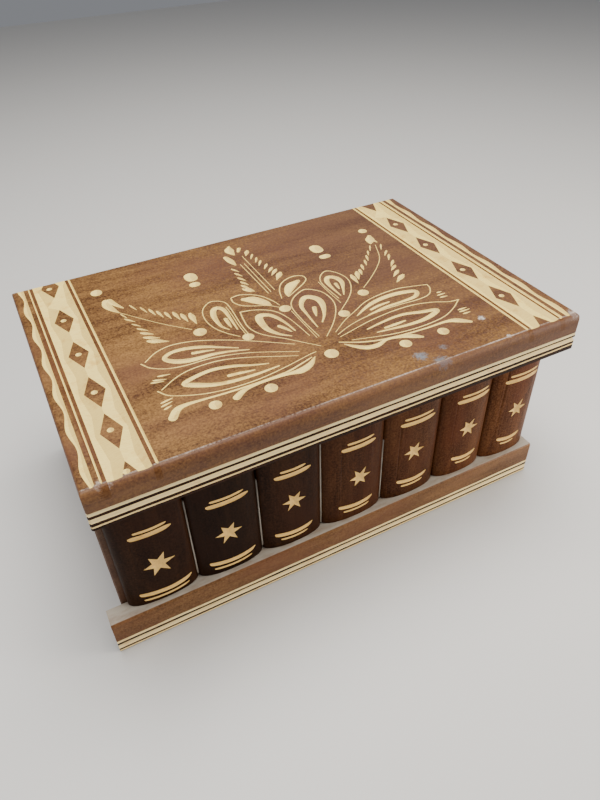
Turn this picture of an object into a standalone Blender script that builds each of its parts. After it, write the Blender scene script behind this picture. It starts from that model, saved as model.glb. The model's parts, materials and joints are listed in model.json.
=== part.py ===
"""A carved wooden puzzle box whose front is dressed as a row of seven books.

The lid overhangs the front. The moulding along the foot of the front slides sideways, the middle
book slides up and uncovers a keyhole, the second book is the front of a small drawer that hides
the key, and the key lifts a bolt out of the front wall into the lid. Lengths are in metres: X runs
along the front, Y from the front to the back, Z up, and the ground is z = 0.
"""

import math

import bmesh
import bpy
from mathutils import Matrix, Vector

MM = 0.001

# Overall sizes.
LID_LENGTH = 225 * MM
LID_DEPTH = 152 * MM
LID_HEIGHT = 18.7 * MM
BODY_HEIGHT = 86 * MM
FRONT_OVERHANG = 15.6 * MM
END_INSET = 0.5 * MM

# Boards. GAP is left between pieces that touch.
GAP = 0.3 * MM
FRONT_WALL = 10 * MM
BACK_WALL = 9 * MM
SIDE_WALL = 9 * MM
BOTTOM = 4.5 * MM
LID_TOP = 9.2 * MM
LID_RIM = 9 * MM
STRIKE_LEDGE = 3 * MM
LID_ROUND = 4.5 * MM
BOARD_ROUND = 0.6 * MM

# Books: a flattened half round, a superellipse of the given exponent on a short straight edge.
# The shares are the books' widths along the row, from the left; they are cut by eye and differ.
BOOK_SHARES = (32.5, 31.8, 30.8, 33, 31.3, 29.6, 29.8)
BOOK_PROUD = 6.3 * MM
BOOK_EDGE = 1.2 * MM
BOOK_MARGIN = 2.6 * MM
BOOK_POWER = 2.3
BOOK_LIFT = 13.5 * MM
KEYHOLE_BOOK = 4
DRAWER_BOOK = 2

# Sliding foot moulding.
SLIDER_HEIGHT = 20 * MM
SLIDER_DEPTH = 9.1 * MM
SLIDER_ROUND = 1.6 * MM
SLIDER_FOOT = 0.4 * MM
SLIDER_EXTRA = 5.6 * MM
SLIDER_SHIFT = -3.5 * MM

# Dovetail tongues of the moulding and of the sliding book.
TONGUE_NECK = 5 * MM
TONGUE_HEAD = 8 * MM
TONGUE_DEPTH = 3 * MM
SLIDER_TONGUE_Z = 10 * MM
SLIDER_TONGUE_INSET = 13 * MM
BOOK_TONGUE_BOTTOM = 42 * MM
BOOK_TONGUE_BELOW_TOP = 18 * MM

# Lock: a crank on the plug lifts the bolt through a slot in its foot.
KEYHOLE_Z = 27.5 * MM
KEYHOLE_RADIUS = 1.9 * MM
KEYHOLE_SLOT = 2 * MM
KEYHOLE_DROP = 5.4 * MM
PLUG_RADIUS = 6.2 * MM
CRANK_DISC = 7 * MM
CRANK_THICKNESS = 1.3 * MM
CRANK_ARM = 5 * MM
CRANK_ANGLE = math.radians(45)
CRANK_PIN = 1.2 * MM
PIN_CLEARANCE = 0.35 * MM
BOLT_WIDTH = 8 * MM
BOLT_FOOT = 8.6 * MM
BOLT_FOOT_HEIGHT = 6.4 * MM
BOLT_THICKNESS = 2.3 * MM
BOLT_BELOW_TOP = 0.5 * MM
LOCK_PLATE = 1 * MM
LOCK_PLATE_WIDTH = 25 * MM
LOCK_PLATE_BELOW_TOP = 8 * MM
LOCK_PLATE_BOTTOM = 14.5 * MM
KEY_PLATE = 0.8 * MM
KEY_PLATE_WIDTH = 9 * MM
KEY_PLATE_HEIGHT = 9.4 * MM
STRIKE_PLATE = 1 * MM
STRIKE_LENGTH = 26 * MM
STRIKE_WIDTH = 8 * MM

# Key drawer and its housing.
DRAWER_WIDTH = 20 * MM
DRAWER_HEIGHT = 13 * MM
DRAWER_LENGTH = 44 * MM
DRAWER_WALL = 2 * MM
DRAWER_Z = 42 * MM
DRAWER_CLEARANCE = 0.4 * MM
HOUSING_WALL = 3 * MM

# Key.
KEY_SHANK = 1.3 * MM
KEY_LENGTH = 24 * MM
KEY_BOW = 5 * MM
KEY_BOW_WIRE = 1.1 * MM
KEY_BIT = 4 * MM
KEY_BIT_WIDTH = 4.6 * MM
KEY_BIT_THICKNESS = 1.6 * MM

# Hinges and screws.
HINGE_LENGTH = 30 * MM
HINGE_LEAF = 1.2 * MM
HINGE_KNUCKLE = 2 * MM
HINGE_PIN = 1 * MM
HINGE_PIN_CLEARANCE = 0.08 * MM
HINGE_FROM_END = 45 * MM
SCREW_HEAD = 1.9 * MM
SCREW_HEAD_HEIGHT = 0.8 * MM
SCREW_SHANK = 0.9 * MM
SCREW_LENGTH = 6 * MM
SCREW_CLEARANCE = 0.3 * MM
SCREW_FROM_EDGE = 3.6 * MM

# Places worked out from the sizes.
LID_FRONT_Y = -LID_DEPTH / 2
BODY_LENGTH = LID_LENGTH - 2 * END_INSET
BODY_FRONT_Y = LID_FRONT_Y + FRONT_OVERHANG
BACK_Y = LID_DEPTH / 2
INNER_FRONT_Y = BODY_FRONT_Y + FRONT_WALL
INNER_BACK_Y = BACK_Y - BACK_WALL
LID_BOTTOM_Z = BODY_HEIGHT + GAP
LID_TOP_Z = LID_BOTTOM_Z + LID_HEIGHT
PANEL_BOTTOM_Z = LID_TOP_Z - LID_TOP
RIM_HEIGHT = LID_HEIGHT - LID_TOP - GAP
FRONT_RIM_DEPTH = FRONT_OVERHANG + FRONT_WALL + STRIKE_LEDGE
BOOK_ROW = BODY_LENGTH - 2 * BOOK_MARGIN
BOOK_BOTTOM_Z = SLIDER_HEIGHT + GAP
BOOK_HEIGHT = BODY_HEIGHT - BOOK_BOTTOM_Z
BOOK_BACK_Y = BODY_FRONT_Y - GAP
HINGE_AXIS_Y = BACK_Y + GAP + HINGE_KNUCKLE
HINGE_AXIS_Z = BODY_HEIGHT + GAP / 2
HINGE_LEAF_START = HINGE_KNUCKLE + 1.5 * GAP
HINGE_LEAF_END = LID_BOTTOM_Z + RIM_HEIGHT - HINGE_AXIS_Z
LOCK_PLATE_TOP = BODY_HEIGHT - LOCK_PLATE_BELOW_TOP
BOOK_TONGUE_TOP = BODY_HEIGHT - BOOK_TONGUE_BELOW_TOP
BOLT_BACK_Y = INNER_FRONT_Y - GAP
DISC_BACK_Y = BOLT_BACK_Y - BOLT_THICKNESS - GAP
RECESS_Y = DISC_BACK_Y - CRANK_THICKNESS - GAP
BOLT_Z = KEYHOLE_Z - CRANK_ARM * math.sin(CRANK_ANGLE)
BOLT_LIFT = 2 * CRANK_ARM * math.sin(CRANK_ANGLE)


def book_joint(number):
    """Where a book's share of the row starts, counted from 1 at the left."""
    return BOOK_ROW * (sum(BOOK_SHARES[:number - 1]) / sum(BOOK_SHARES) - 0.5)


def book_x(number):
    """Middle of a book along the front."""
    return (book_joint(number) + book_joint(number + 1)) / 2


def book_half(number):
    """Half the width of a book, which leaves a gap between it and the next."""
    return (book_joint(number + 1) - book_joint(number) - GAP) / 2


LOCK_X = book_x(KEYHOLE_BOOK)
DRAWER_X = book_x(DRAWER_BOOK)


# Scene, collections and materials.

def clear_scene():
    """Remove whatever objects the file already holds."""
    for old in list(bpy.data.objects):
        bpy.data.objects.remove(old, do_unlink=True)


def new_collection(name):
    """A collection linked to the scene."""
    collection = bpy.data.collections.new(name)
    bpy.context.scene.collection.children.link(collection)
    return collection


def principled(name, colour, roughness, metallic=0.0):
    """A material with one Principled BSDF."""
    material = bpy.data.materials.new(name)
    material.use_nodes = True
    shader = material.node_tree.nodes["Principled BSDF"]
    shader.inputs["Base Color"].default_value = (*colour, 1.0)
    shader.inputs["Roughness"].default_value = roughness
    shader.inputs["Metallic"].default_value = metallic
    material.diffuse_color = (*colour, 1.0)
    return material


clear_scene()
BOX = new_collection("wooden_puzzle_box")
CUTTERS = new_collection("cutters")

LID_WOOD = principled("lid_walnut_stain", (0.21, 0.085, 0.035), 0.38)
RIM_WOOD = principled("rim_walnut_stain", (0.14, 0.055, 0.03), 0.4)
BOOK_WOOD = principled("book_dark_stain", (0.075, 0.024, 0.014), 0.35)
WALL_WOOD = principled("wall_dark_stain", (0.09, 0.035, 0.02), 0.45)
SLIDER_WOOD = principled("moulding_stain", (0.18, 0.085, 0.05), 0.38)
BARE_WOOD = principled("bare_limewood", (0.62, 0.44, 0.25), 0.6)
BRASS = principled("brass", (0.72, 0.52, 0.22), 0.32, 1.0)
STEEL = principled("steel", (0.56, 0.55, 0.53), 0.35, 1.0)


# Shapes.

def new_object(name, mesh, material, location=(0, 0, 0), collection=None):
    """Link a mesh into the box, or into another collection, with one material."""
    built = bpy.data.objects.new(name, mesh)
    built.location = location
    (collection or BOX).objects.link(built)
    if material:
        mesh.materials.clear()
        mesh.materials.append(material)
    return built


def block(name, low, high, material=None, collection=None):
    """A box between two corners, with its origin in its middle."""
    low = Vector(low)
    high = Vector(high)
    mesh = bpy.data.meshes.new(name)
    shape = bmesh.new()
    bmesh.ops.create_cube(shape, size=1.0)
    bmesh.ops.scale(shape, vec=high - low, verts=shape.verts)
    shape.to_mesh(mesh)
    shape.free()
    return new_object(name, mesh, material, (low + high) / 2, collection)


def rod(name, radius, start, end, material=None, collection=None, segments=32):
    """A round bar from one point to another, with its origin in its middle."""
    start = Vector(start)
    end = Vector(end)
    mesh = bpy.data.meshes.new(name)
    shape = bmesh.new()
    length = (end - start).length
    bmesh.ops.create_cone(shape, cap_ends=True, segments=segments, radius1=radius,
                          radius2=radius, depth=length)
    turn = Vector((0, 0, 1)).rotation_difference(end - start).to_matrix()
    bmesh.ops.rotate(shape, cent=(0, 0, 0), matrix=turn, verts=shape.verts)
    for face in shape.faces:
        face.smooth = len(face.verts) == 4
    shape.to_mesh(mesh)
    shape.free()
    return new_object(name, mesh, material, (start + end) / 2, collection)


def prism(name, outline, low, high, axis, material=None, collection=None):
    """A flat outline extruded along X, Y or Z from low to high.

    The outline's points are (Y, Z) for X, (X, Z) for Y and (X, Y) for Z.
    """
    curve = bpy.data.curves.new(name, "CURVE")
    curve.dimensions = "2D"
    curve.fill_mode = "BOTH"
    curve.extrude = (high - low) / 2
    spline = curve.splines.new("POLY")
    spline.points.add(len(outline) - 1)
    for point, place in zip(spline.points, outline):
        point.co = (place[0], place[1], 0, 1)
    spline.use_cyclic_u = True
    drawn = bpy.data.objects.new(name + "_outline", curve)
    CUTTERS.objects.link(drawn)
    middle = (low + high) / 2
    if axis == "X":
        turn = Matrix(((0, 0, 1), (1, 0, 0), (0, 1, 0)))
        centre = Vector((middle, 0, 0))
    elif axis == "Y":
        turn = Matrix(((1, 0, 0), (0, 0, -1), (0, 1, 0)))
        centre = Vector((0, middle, 0))
    else:
        turn = Matrix.Identity(3)
        centre = Vector((0, 0, middle))
    drawn.matrix_world = Matrix.Translation(centre) @ turn.to_4x4()
    bpy.context.view_layer.update()
    evaluated = drawn.evaluated_get(bpy.context.evaluated_depsgraph_get())
    mesh = bpy.data.meshes.new_from_object(evaluated)
    mesh.transform(drawn.matrix_world)
    bpy.data.objects.remove(drawn, do_unlink=True)
    shape = bmesh.new()
    shape.from_mesh(mesh)
    bmesh.ops.remove_doubles(shape, verts=shape.verts, dist=0.005 * MM)
    bmesh.ops.recalc_face_normals(shape, faces=shape.faces)
    shape.to_mesh(mesh)
    shape.free()
    return new_object(name, mesh, material, (0, 0, 0), collection)


def recentre(built, origin):
    """Move an unrotated object's origin to a world point and leave its shape in place."""
    offset = Vector(origin) - built.location
    built.data.transform(Matrix.Translation(-offset))
    built.location = Vector(origin)
    return built


def bevel(built, width, segments=2, angle=40):
    """Round the edges that turn by more than the given angle."""
    modifier = built.modifiers.new("round_edges", "BEVEL")
    modifier.width = width
    modifier.segments = segments
    modifier.limit_method = "ANGLE"
    modifier.angle_limit = math.radians(angle)
    modifier.harden_normals = False
    return built


def boolean(built, tool, operation):
    """Cut a tool from an object or join it on, exactly, and keep the tool as a cutter."""
    modifier = built.modifiers.new(tool.name, "BOOLEAN")
    modifier.operation = operation
    modifier.solver = "EXACT"
    modifier.object = tool
    tool.hide_render = True
    tool.display_type = "WIRE"
    return built


def cut(built, tool):
    """Cut a tool from an object."""
    return boolean(built, tool, "DIFFERENCE")


def join(built, tool):
    """Join a tool onto an object."""
    return boolean(built, tool, "UNION")


def group(name, pieces, collection):
    """Join separate solids that don't touch into one cutter with its origin on the first."""
    shape = bmesh.new()
    first = pieces[0].location.copy()
    for piece in pieces:
        copy = piece.data.copy()
        copy.transform(Matrix.Translation(piece.location - first))
        shape.from_mesh(copy)
        bpy.data.meshes.remove(copy)
        bpy.data.objects.remove(piece, do_unlink=True)
    mesh = bpy.data.meshes.new(name)
    shape.to_mesh(mesh)
    shape.free()
    return new_object(name, mesh, None, first, collection)


def carried(axis_name, place, pieces):
    """Parent pieces to an empty on their joint's axis and leave them where they are."""
    empty = bpy.data.objects.new(axis_name, None)
    empty.location = place
    empty.empty_display_size = 10 * MM
    BOX.objects.link(empty)
    for piece in pieces:
        piece.parent = empty
        piece.location = piece.location - Vector(place)
    return empty


# Screws: a low round head on a plain shank, in holes that leave them a clearance.

def screw(name, head_base, direction, material):
    """One screw whose head sits on head_base and whose shank runs along direction."""
    head_base = Vector(head_base)
    direction = Vector(direction)
    mesh = bpy.data.meshes.new(name)
    shape = bmesh.new()
    turn = Vector((0, 0, -1)).rotation_difference(direction).to_matrix()
    profile = (
        (0, SCREW_HEAD_HEIGHT),
        (0.6 * SCREW_HEAD, 0.85 * SCREW_HEAD_HEIGHT),
        (SCREW_HEAD, 0.3 * SCREW_HEAD_HEIGHT),
        (SCREW_HEAD, 0),
        (SCREW_SHANK, 0),
        (SCREW_SHANK, SCREW_SHANK - SCREW_LENGTH),
        (0, -SCREW_LENGTH),
    )
    corners = [shape.verts.new((radius, 0, height)) for radius, height in profile]
    edges = [shape.edges.new(pair) for pair in zip(corners, corners[1:])]
    bmesh.ops.spin(shape, geom=corners + edges, cent=(0, 0, 0), axis=(0, 0, 1),
                   angle=2 * math.pi, steps=16, use_merge=True)
    bmesh.ops.remove_doubles(shape, verts=shape.verts, dist=0.01 * MM)
    bmesh.ops.recalc_face_normals(shape, faces=shape.faces)
    bmesh.ops.rotate(shape, cent=(0, 0, 0), matrix=turn, verts=shape.verts)
    shape.to_mesh(mesh)
    shape.free()
    return new_object(name, mesh, material, head_base)


def screw_holes(name, head_bases, direction):
    """Cutters for the shanks of some screws, as one tool."""
    direction = Vector(direction)
    holes = []
    for head_base in head_bases:
        start = Vector(head_base) - 2 * GAP * direction
        end = Vector(head_base) + (SCREW_LENGTH + SCREW_CLEARANCE) * direction
        radius = SCREW_SHANK + SCREW_CLEARANCE
        holes.append(rod(name, radius, start, end, None, CUTTERS, 16))
    return group(name, holes, CUTTERS)


def screws(name, head_bases, direction, material):
    """Some screws, each an object of its own, numbered from 1."""
    return [screw("%s_%d" % (name, count), base, direction, material)
            for count, base in enumerate(head_bases, start=1)]


# Dovetails.

def dovetail(across, slack):
    """Outline of a tongue that widens into the front wall, with slack added all round.

    Its points are (Y, across). It starts 2 gaps before the wall's face, inside the piece it is on.
    """
    neck = TONGUE_NECK / 2 + slack
    head = TONGUE_HEAD / 2 + slack
    lead = BODY_FRONT_Y - 2 * GAP
    end = BODY_FRONT_Y + TONGUE_DEPTH + slack
    return ((lead, across - neck), (lead, across + neck), (BODY_FRONT_Y, across + neck),
            (end, across + head), (end, across - head), (BODY_FRONT_Y, across - neck))


# The carcass: four walls and a bottom.

def keyhole_outline(slack=0.0):
    """A round hole with a slot below it, as (X, Z) points about the lock."""
    radius = KEYHOLE_RADIUS + slack
    half = KEYHOLE_SLOT / 2 + slack
    low = KEYHOLE_Z - KEYHOLE_DROP - slack
    reach = math.asin(half / radius)
    start = -math.pi / 2 + reach
    sweep = 2 * math.pi - 2 * reach
    steps = 20
    arc = []
    for step in range(steps + 1):
        angle = start + sweep * step / steps
        arc.append((LOCK_X + radius * math.cos(angle), KEYHOLE_Z + radius * math.sin(angle)))
    return arc + [(LOCK_X - half, low), (LOCK_X + half, low)]


LOCK_SCREWS = [
    (LOCK_X + side * (LOCK_PLATE_WIDTH / 2 - SCREW_FROM_EDGE), INNER_FRONT_Y + GAP + LOCK_PLATE
     + GAP, height)
    for side in (-1, 1)
    for height in (LOCK_PLATE_BOTTOM + SCREW_FROM_EDGE / 2, LOCK_PLATE_TOP - SCREW_FROM_EDGE)
]
HINGE_X = [side * (LID_LENGTH / 2 - HINGE_FROM_END) for side in (-1, 1)]


def hinge_screw_places(side):
    """Screw head seats on both leaves below (-1) or above (1) the hinge's axis."""
    y = BACK_Y + GAP + HINGE_LEAF + GAP
    z = HINGE_AXIS_Z + side * (HINGE_LEAF_START + HINGE_LEAF_END) / 2
    reach = HINGE_LENGTH / 2 - SCREW_FROM_EDGE
    return [(x + step * reach, y, z) for x in HINGE_X for step in (-1, 1)]


def build_front_wall():
    """The front wall, with the lock's recess, both dovetail grooves and the drawer's opening."""
    low = (-BODY_LENGTH / 2, BODY_FRONT_Y, 0)
    wall = block("front_wall", low, (BODY_LENGTH / 2, INNER_FRONT_Y, BODY_HEIGHT), WALL_WOOD)
    bevel(wall, BOARD_ROUND, 1)
    cut(wall, prism("slider_groove", dovetail(SLIDER_TONGUE_Z, GAP), -LID_LENGTH, LID_LENGTH,
                    "X", None, CUTTERS))
    groove = [(across, along) for along, across in dovetail(LOCK_X, GAP)]
    cut(wall, prism("book_groove", groove, BOOK_TONGUE_BOTTOM - GAP, BODY_HEIGHT + GAP, "Z",
                    None, CUTTERS))
    side = KEY_PLATE_WIDTH / 2 + GAP
    plate_low = (LOCK_X - side, BODY_FRONT_Y - GAP, key_plate_bottom() - GAP)
    plate_high = (LOCK_X + side, BODY_FRONT_Y + KEY_PLATE + GAP,
                  key_plate_bottom() + KEY_PLATE_HEIGHT + GAP)
    cut(wall, block("key_plate_recess", plate_low, plate_high, None, CUTTERS))
    bore_front = BODY_FRONT_Y + KEY_PLATE + GAP / 2
    cut(wall, rod("plug_bore", PLUG_RADIUS + GAP, (LOCK_X, bore_front, KEYHOLE_Z),
                  (LOCK_X, INNER_FRONT_Y - GAP, KEYHOLE_Z), None, CUTTERS, 40))
    foot_low = (LOCK_X - CRANK_DISC - 2 * GAP, RECESS_Y, BOLT_Z - BOLT_FOOT_HEIGHT / 2 - 2 * GAP)
    foot_high = (LOCK_X + BOLT_FOOT + 2 * GAP, INNER_FRONT_Y + GAP,
                 BOLT_Z + BOLT_FOOT_HEIGHT / 2 + BOLT_LIFT + 2 * GAP)
    cut(wall, block("bolt_foot_recess", foot_low, foot_high, None, CUTTERS))
    bar = BOLT_WIDTH / 2 + GAP
    cut(wall, block("bolt_channel", (LOCK_X - bar, RECESS_Y, KEYHOLE_Z),
                    (LOCK_X + bar, INNER_FRONT_Y + GAP, BODY_HEIGHT + GAP), None, CUTTERS))
    low, high = drawer_space(DRAWER_CLEARANCE)
    cut(wall, block("drawer_opening", (low[0], BODY_FRONT_Y - GAP, low[2]),
                    (high[0], INNER_FRONT_Y + GAP, high[2]), None, CUTTERS))
    cut(wall, screw_holes("lock_screw_holes", LOCK_SCREWS, (0, -1, 0)))
    return wall


def build_other_walls():
    """The back wall, the two side walls between front and back, and the bottom inside them."""
    back = block("back_wall", (-BODY_LENGTH / 2, INNER_BACK_Y, 0),
                 (BODY_LENGTH / 2, BACK_Y, BODY_HEIGHT), WALL_WOOD)
    bevel(back, BOARD_ROUND, 1)
    cut(back, screw_holes("back_wall_screw_holes", hinge_screw_places(-1), (0, -1, 0)))
    front_y = INNER_FRONT_Y + GAP
    back_y = INNER_BACK_Y - GAP
    inner = BODY_LENGTH / 2 - SIDE_WALL
    left = block("left_wall", (-BODY_LENGTH / 2, front_y, 0), (-inner, back_y, BODY_HEIGHT),
                 WALL_WOOD)
    right = block("right_wall", (inner, front_y, 0), (BODY_LENGTH / 2, back_y, BODY_HEIGHT),
                  WALL_WOOD)
    bevel(left, BOARD_ROUND, 1)
    bevel(right, BOARD_ROUND, 1)
    block("bottom_panel", (-inner + GAP, front_y, 0), (inner - GAP, back_y, BOTTOM), BARE_WOOD)


# The books and the foot moulding.

def book_outline(number):
    """(X, Y) points of a book's section, its flat back just in front of the wall."""
    x = book_x(number)
    half = book_half(number)
    rise = BOOK_PROUD - BOOK_EDGE
    points = [(x - half, BOOK_BACK_Y), (x + half, BOOK_BACK_Y)]
    steps = 24
    for step in range(steps + 1):
        angle = math.pi * step / steps
        cosine = math.cos(angle)
        reach = math.copysign(abs(cosine) ** (2 / BOOK_POWER), cosine)
        height = max(math.sin(angle), 0.0) ** (2 / BOOK_POWER)
        points.append((x + half * reach, BODY_FRONT_Y - BOOK_EDGE - rise * height))
    return points


def build_book(number):
    """One book's spine, with a dovetail tongue on the back of the one that slides."""
    x = book_x(number)
    name = "book_spine_%d" % number
    book = prism(name, book_outline(number), BOOK_BOTTOM_Z, BODY_HEIGHT, "Z", BOOK_WOOD)
    for face in book.data.polygons:
        face.use_smooth = abs(face.normal.z) < 0.5 and face.normal.y < -0.02
    if number == KEYHOLE_BOOK:
        tongue = [(across, along) for along, across in dovetail(x, 0.0)]
        join(book, prism("book_tongue", tongue, BOOK_TONGUE_BOTTOM, BOOK_TONGUE_TOP, "Z", None,
                         CUTTERS))
    return recentre(book, (x, BODY_FRONT_Y, BOOK_BOTTOM_Z))


def build_slider():
    """The moulding along the foot of the front, running on a dovetail tongue."""
    back = BODY_FRONT_Y - GAP
    front = BODY_FRONT_Y - SLIDER_DEPTH
    top = SLIDER_HEIGHT
    round_steps = 5
    outline = [(back, SLIDER_FOOT), (back, top)]
    for step in range(round_steps + 1):
        angle = math.pi / 2 * step / round_steps
        outline.append((front + SLIDER_ROUND * (1 - math.sin(angle)),
                        top - SLIDER_ROUND * (1 - math.cos(angle))))
    outline.append((front, SLIDER_FOOT))
    half = (LID_LENGTH + SLIDER_EXTRA) / 2
    slider = prism("base_slider", outline, SLIDER_SHIFT - half, SLIDER_SHIFT + half, "X",
                   SLIDER_WOOD)
    reach = BODY_LENGTH / 2 - SLIDER_TONGUE_INSET
    join(slider, prism("slider_tongue", dovetail(SLIDER_TONGUE_Z, 0.0), SLIDER_SHIFT - reach,
                       SLIDER_SHIFT + reach, "X", None, CUTTERS))
    return recentre(slider, (SLIDER_SHIFT, BODY_FRONT_Y, SLIDER_TONGUE_Z))


# The key drawer, its housing and the key.

def drawer_space(slack):
    """Low and high corners of the drawer's tray, grown by a slack."""
    low = (DRAWER_X - DRAWER_WIDTH / 2 - slack, BODY_FRONT_Y, DRAWER_Z - slack)
    high = (DRAWER_X + DRAWER_WIDTH / 2 + slack, BODY_FRONT_Y + DRAWER_LENGTH + slack,
            DRAWER_Z + DRAWER_HEIGHT + slack)
    return low, high


def build_drawer():
    """A small open tray glued behind its book."""
    low, high = drawer_space(0.0)
    tray = block("key_drawer_tray", low, high, BARE_WOOD)
    inside_low = [value + DRAWER_WALL for value in low]
    inside_high = [high[0] - DRAWER_WALL, high[1] - DRAWER_WALL, high[2] + DRAWER_WALL]
    cut(tray, block("tray_hollow", inside_low, inside_high, None, CUTTERS))
    return tray


def build_housing():
    """A hollow block inside the front wall that hides the drawer."""
    low, high = drawer_space(DRAWER_CLEARANCE)
    outer_low = (low[0] - HOUSING_WALL, INNER_FRONT_Y + GAP, low[2] - HOUSING_WALL)
    outer_high = [value + HOUSING_WALL for value in high]
    housing = block("drawer_housing", outer_low, outer_high, BARE_WOOD)
    cut(housing, block("housing_hollow", (low[0], INNER_FRONT_Y - GAP, low[2]), high, None,
                       CUTTERS))
    return housing


def build_key():
    """A small key lying in the tray, its ring towards the front."""
    floor = DRAWER_Z + DRAWER_WALL + GAP
    z = floor + KEY_SHANK
    ring_y = BODY_FRONT_Y + DRAWER_WALL + GAP + KEY_BOW + KEY_BOW_WIRE + MM
    start = ring_y + KEY_BOW
    end = start + KEY_LENGTH
    key = rod("key", KEY_SHANK, (DRAWER_X, start - KEY_BOW_WIRE / 2, z), (DRAWER_X, end, z),
              STEEL, None, 20)
    ring = bpy.data.curves.new("key_ring", "CURVE")
    ring.dimensions = "3D"
    ring.bevel_depth = KEY_BOW_WIRE
    ring.bevel_resolution = 3
    spline = ring.splines.new("POLY")
    steps = 28
    spline.points.add(steps - 1)
    for step, point in enumerate(spline.points):
        angle = 2 * math.pi * step / steps
        point.co = (KEY_BOW * math.cos(angle), KEY_BOW * math.sin(angle), 0, 1)
    spline.use_cyclic_u = True
    drawn = bpy.data.objects.new("key_ring_curve", ring)
    CUTTERS.objects.link(drawn)
    bpy.context.view_layer.update()
    evaluated = drawn.evaluated_get(bpy.context.evaluated_depsgraph_get())
    mesh = bpy.data.meshes.new_from_object(evaluated)
    bpy.data.objects.remove(drawn, do_unlink=True)
    join(key, new_object("key_ring", mesh, STEEL, (DRAWER_X, ring_y, z), CUTTERS))
    bit_end = end - KEY_BIT / 4
    join(key, block("key_bit", (DRAWER_X, bit_end - KEY_BIT, z - KEY_BIT_THICKNESS / 2),
                    (DRAWER_X + KEY_BIT_WIDTH, bit_end, z + KEY_BIT_THICKNESS / 2), STEEL,
                    CUTTERS))
    return key


# The lock.

def key_plate_bottom():
    """Lower edge of the keyhole plate, which is centred on the whole keyhole."""
    middle = KEYHOLE_Z + (KEYHOLE_RADIUS - KEYHOLE_DROP) / 2
    return middle - KEY_PLATE_HEIGHT / 2


def build_key_plate():
    """A thin plate let into the wall, with the keyhole in it."""
    side = KEY_PLATE_WIDTH / 2
    bottom = key_plate_bottom()
    front = BODY_FRONT_Y + GAP / 2
    plate = block("keyhole_plate", (LOCK_X - side, front, bottom),
                  (LOCK_X + side, front + KEY_PLATE, bottom + KEY_PLATE_HEIGHT), BRASS)
    cut(plate, prism("keyhole", keyhole_outline(), front - GAP, front + KEY_PLATE + GAP, "Y",
                     None, CUTTERS))
    return plate


def build_plug():
    """The turning plug: a barrel with the key's socket, a crank disc and its pin."""
    front = BODY_FRONT_Y + KEY_PLATE + 2 * GAP
    disc = DISC_BACK_Y - CRANK_THICKNESS
    plug = rod("lock_plug", PLUG_RADIUS, (LOCK_X, front, KEYHOLE_Z),
               (LOCK_X, disc + CRANK_THICKNESS / 2, KEYHOLE_Z), BRASS, None, 40)
    join(plug, rod("crank_disc", CRANK_DISC, (LOCK_X, disc, KEYHOLE_Z),
                   (LOCK_X, DISC_BACK_Y, KEYHOLE_Z), BRASS, CUTTERS, 40))
    pin_x = LOCK_X + CRANK_ARM * math.cos(CRANK_ANGLE)
    join(plug, rod("crank_pin", CRANK_PIN, (pin_x, disc + CRANK_THICKNESS / 2, BOLT_Z),
                   (pin_x, INNER_FRONT_Y, BOLT_Z), BRASS, CUTTERS, 20))
    cut(plug, prism("key_socket", keyhole_outline(), front - GAP, disc - GAP, "Y", None,
                    CUTTERS))
    return recentre(plug, (LOCK_X, front, KEYHOLE_Z))


def build_bolt():
    """The bolt: a flat bar on a foot with the crank's slot in it."""
    back = BOLT_BACK_Y
    low = BOLT_Z - BOLT_FOOT_HEIGHT / 2
    high = BOLT_Z + BOLT_FOOT_HEIGHT / 2
    half = BOLT_WIDTH / 2
    outline = ((LOCK_X - half, low), (LOCK_X + BOLT_FOOT, low), (LOCK_X + BOLT_FOOT, high),
               (LOCK_X + half, high), (LOCK_X + half, BODY_HEIGHT - BOLT_BELOW_TOP),
               (LOCK_X - half, BODY_HEIGHT - BOLT_BELOW_TOP))
    bolt = prism("lock_bolt", outline, back - BOLT_THICKNESS, back, "Y", STEEL)
    reach = CRANK_PIN + PIN_CLEARANCE
    near = LOCK_X + CRANK_ARM * math.cos(CRANK_ANGLE) - reach
    far = LOCK_X + CRANK_ARM + reach
    cut(bolt, block("bolt_slot", (near, back - 2 * BOLT_THICKNESS, BOLT_Z - reach),
                    (far, back + GAP, BOLT_Z + reach), None, CUTTERS))
    return recentre(bolt, (LOCK_X, back - BOLT_THICKNESS / 2, BOLT_Z))


def build_lock_plate():
    """The lock's cover plate on the inside of the front wall, with its screws."""
    side = LOCK_PLATE_WIDTH / 2
    front = INNER_FRONT_Y + GAP
    plate = block("lock_plate", (LOCK_X - side, front, LOCK_PLATE_BOTTOM),
                  (LOCK_X + side, front + LOCK_PLATE, LOCK_PLATE_TOP), BRASS)
    cut(plate, screw_holes("lock_plate_holes", LOCK_SCREWS, (0, -1, 0)))
    screws("lock_screw", LOCK_SCREWS, (0, -1, 0), STEEL)
    return plate


# The lid.

def strike_screw_places():
    """Screw head seats under the strike plate."""
    reach = STRIKE_LENGTH / 2 - SCREW_FROM_EDGE
    return [(LOCK_X + side * reach, strike_y(), LID_BOTTOM_Z + SCREW_HEAD_HEIGHT + GAP)
            for side in (-1, 1)]


def strike_y():
    """Middle of the bolt from front to back."""
    return BOLT_BACK_Y - BOLT_THICKNESS / 2


def build_lid_panel():
    """The lid's top board, rounded along its upper edges."""
    half = LID_LENGTH / 2
    panel = block("lid_top_panel", (-half, LID_FRONT_Y, PANEL_BOTTOM_Z),
                  (half, BACK_Y, LID_TOP_Z), LID_WOOD)
    shape = bmesh.new()
    shape.from_mesh(panel.data)
    top = [edge for edge in shape.edges if all(vert.co.z > 0 for vert in edge.verts)]
    bmesh.ops.bevel(shape, geom=top, offset=LID_ROUND, segments=5, profile=0.5,
                    affect="EDGES")
    shape.to_mesh(panel.data)
    shape.free()
    cut(panel, block("panel_book_pocket", *book_pocket(), None, CUTTERS))
    return panel


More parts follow.
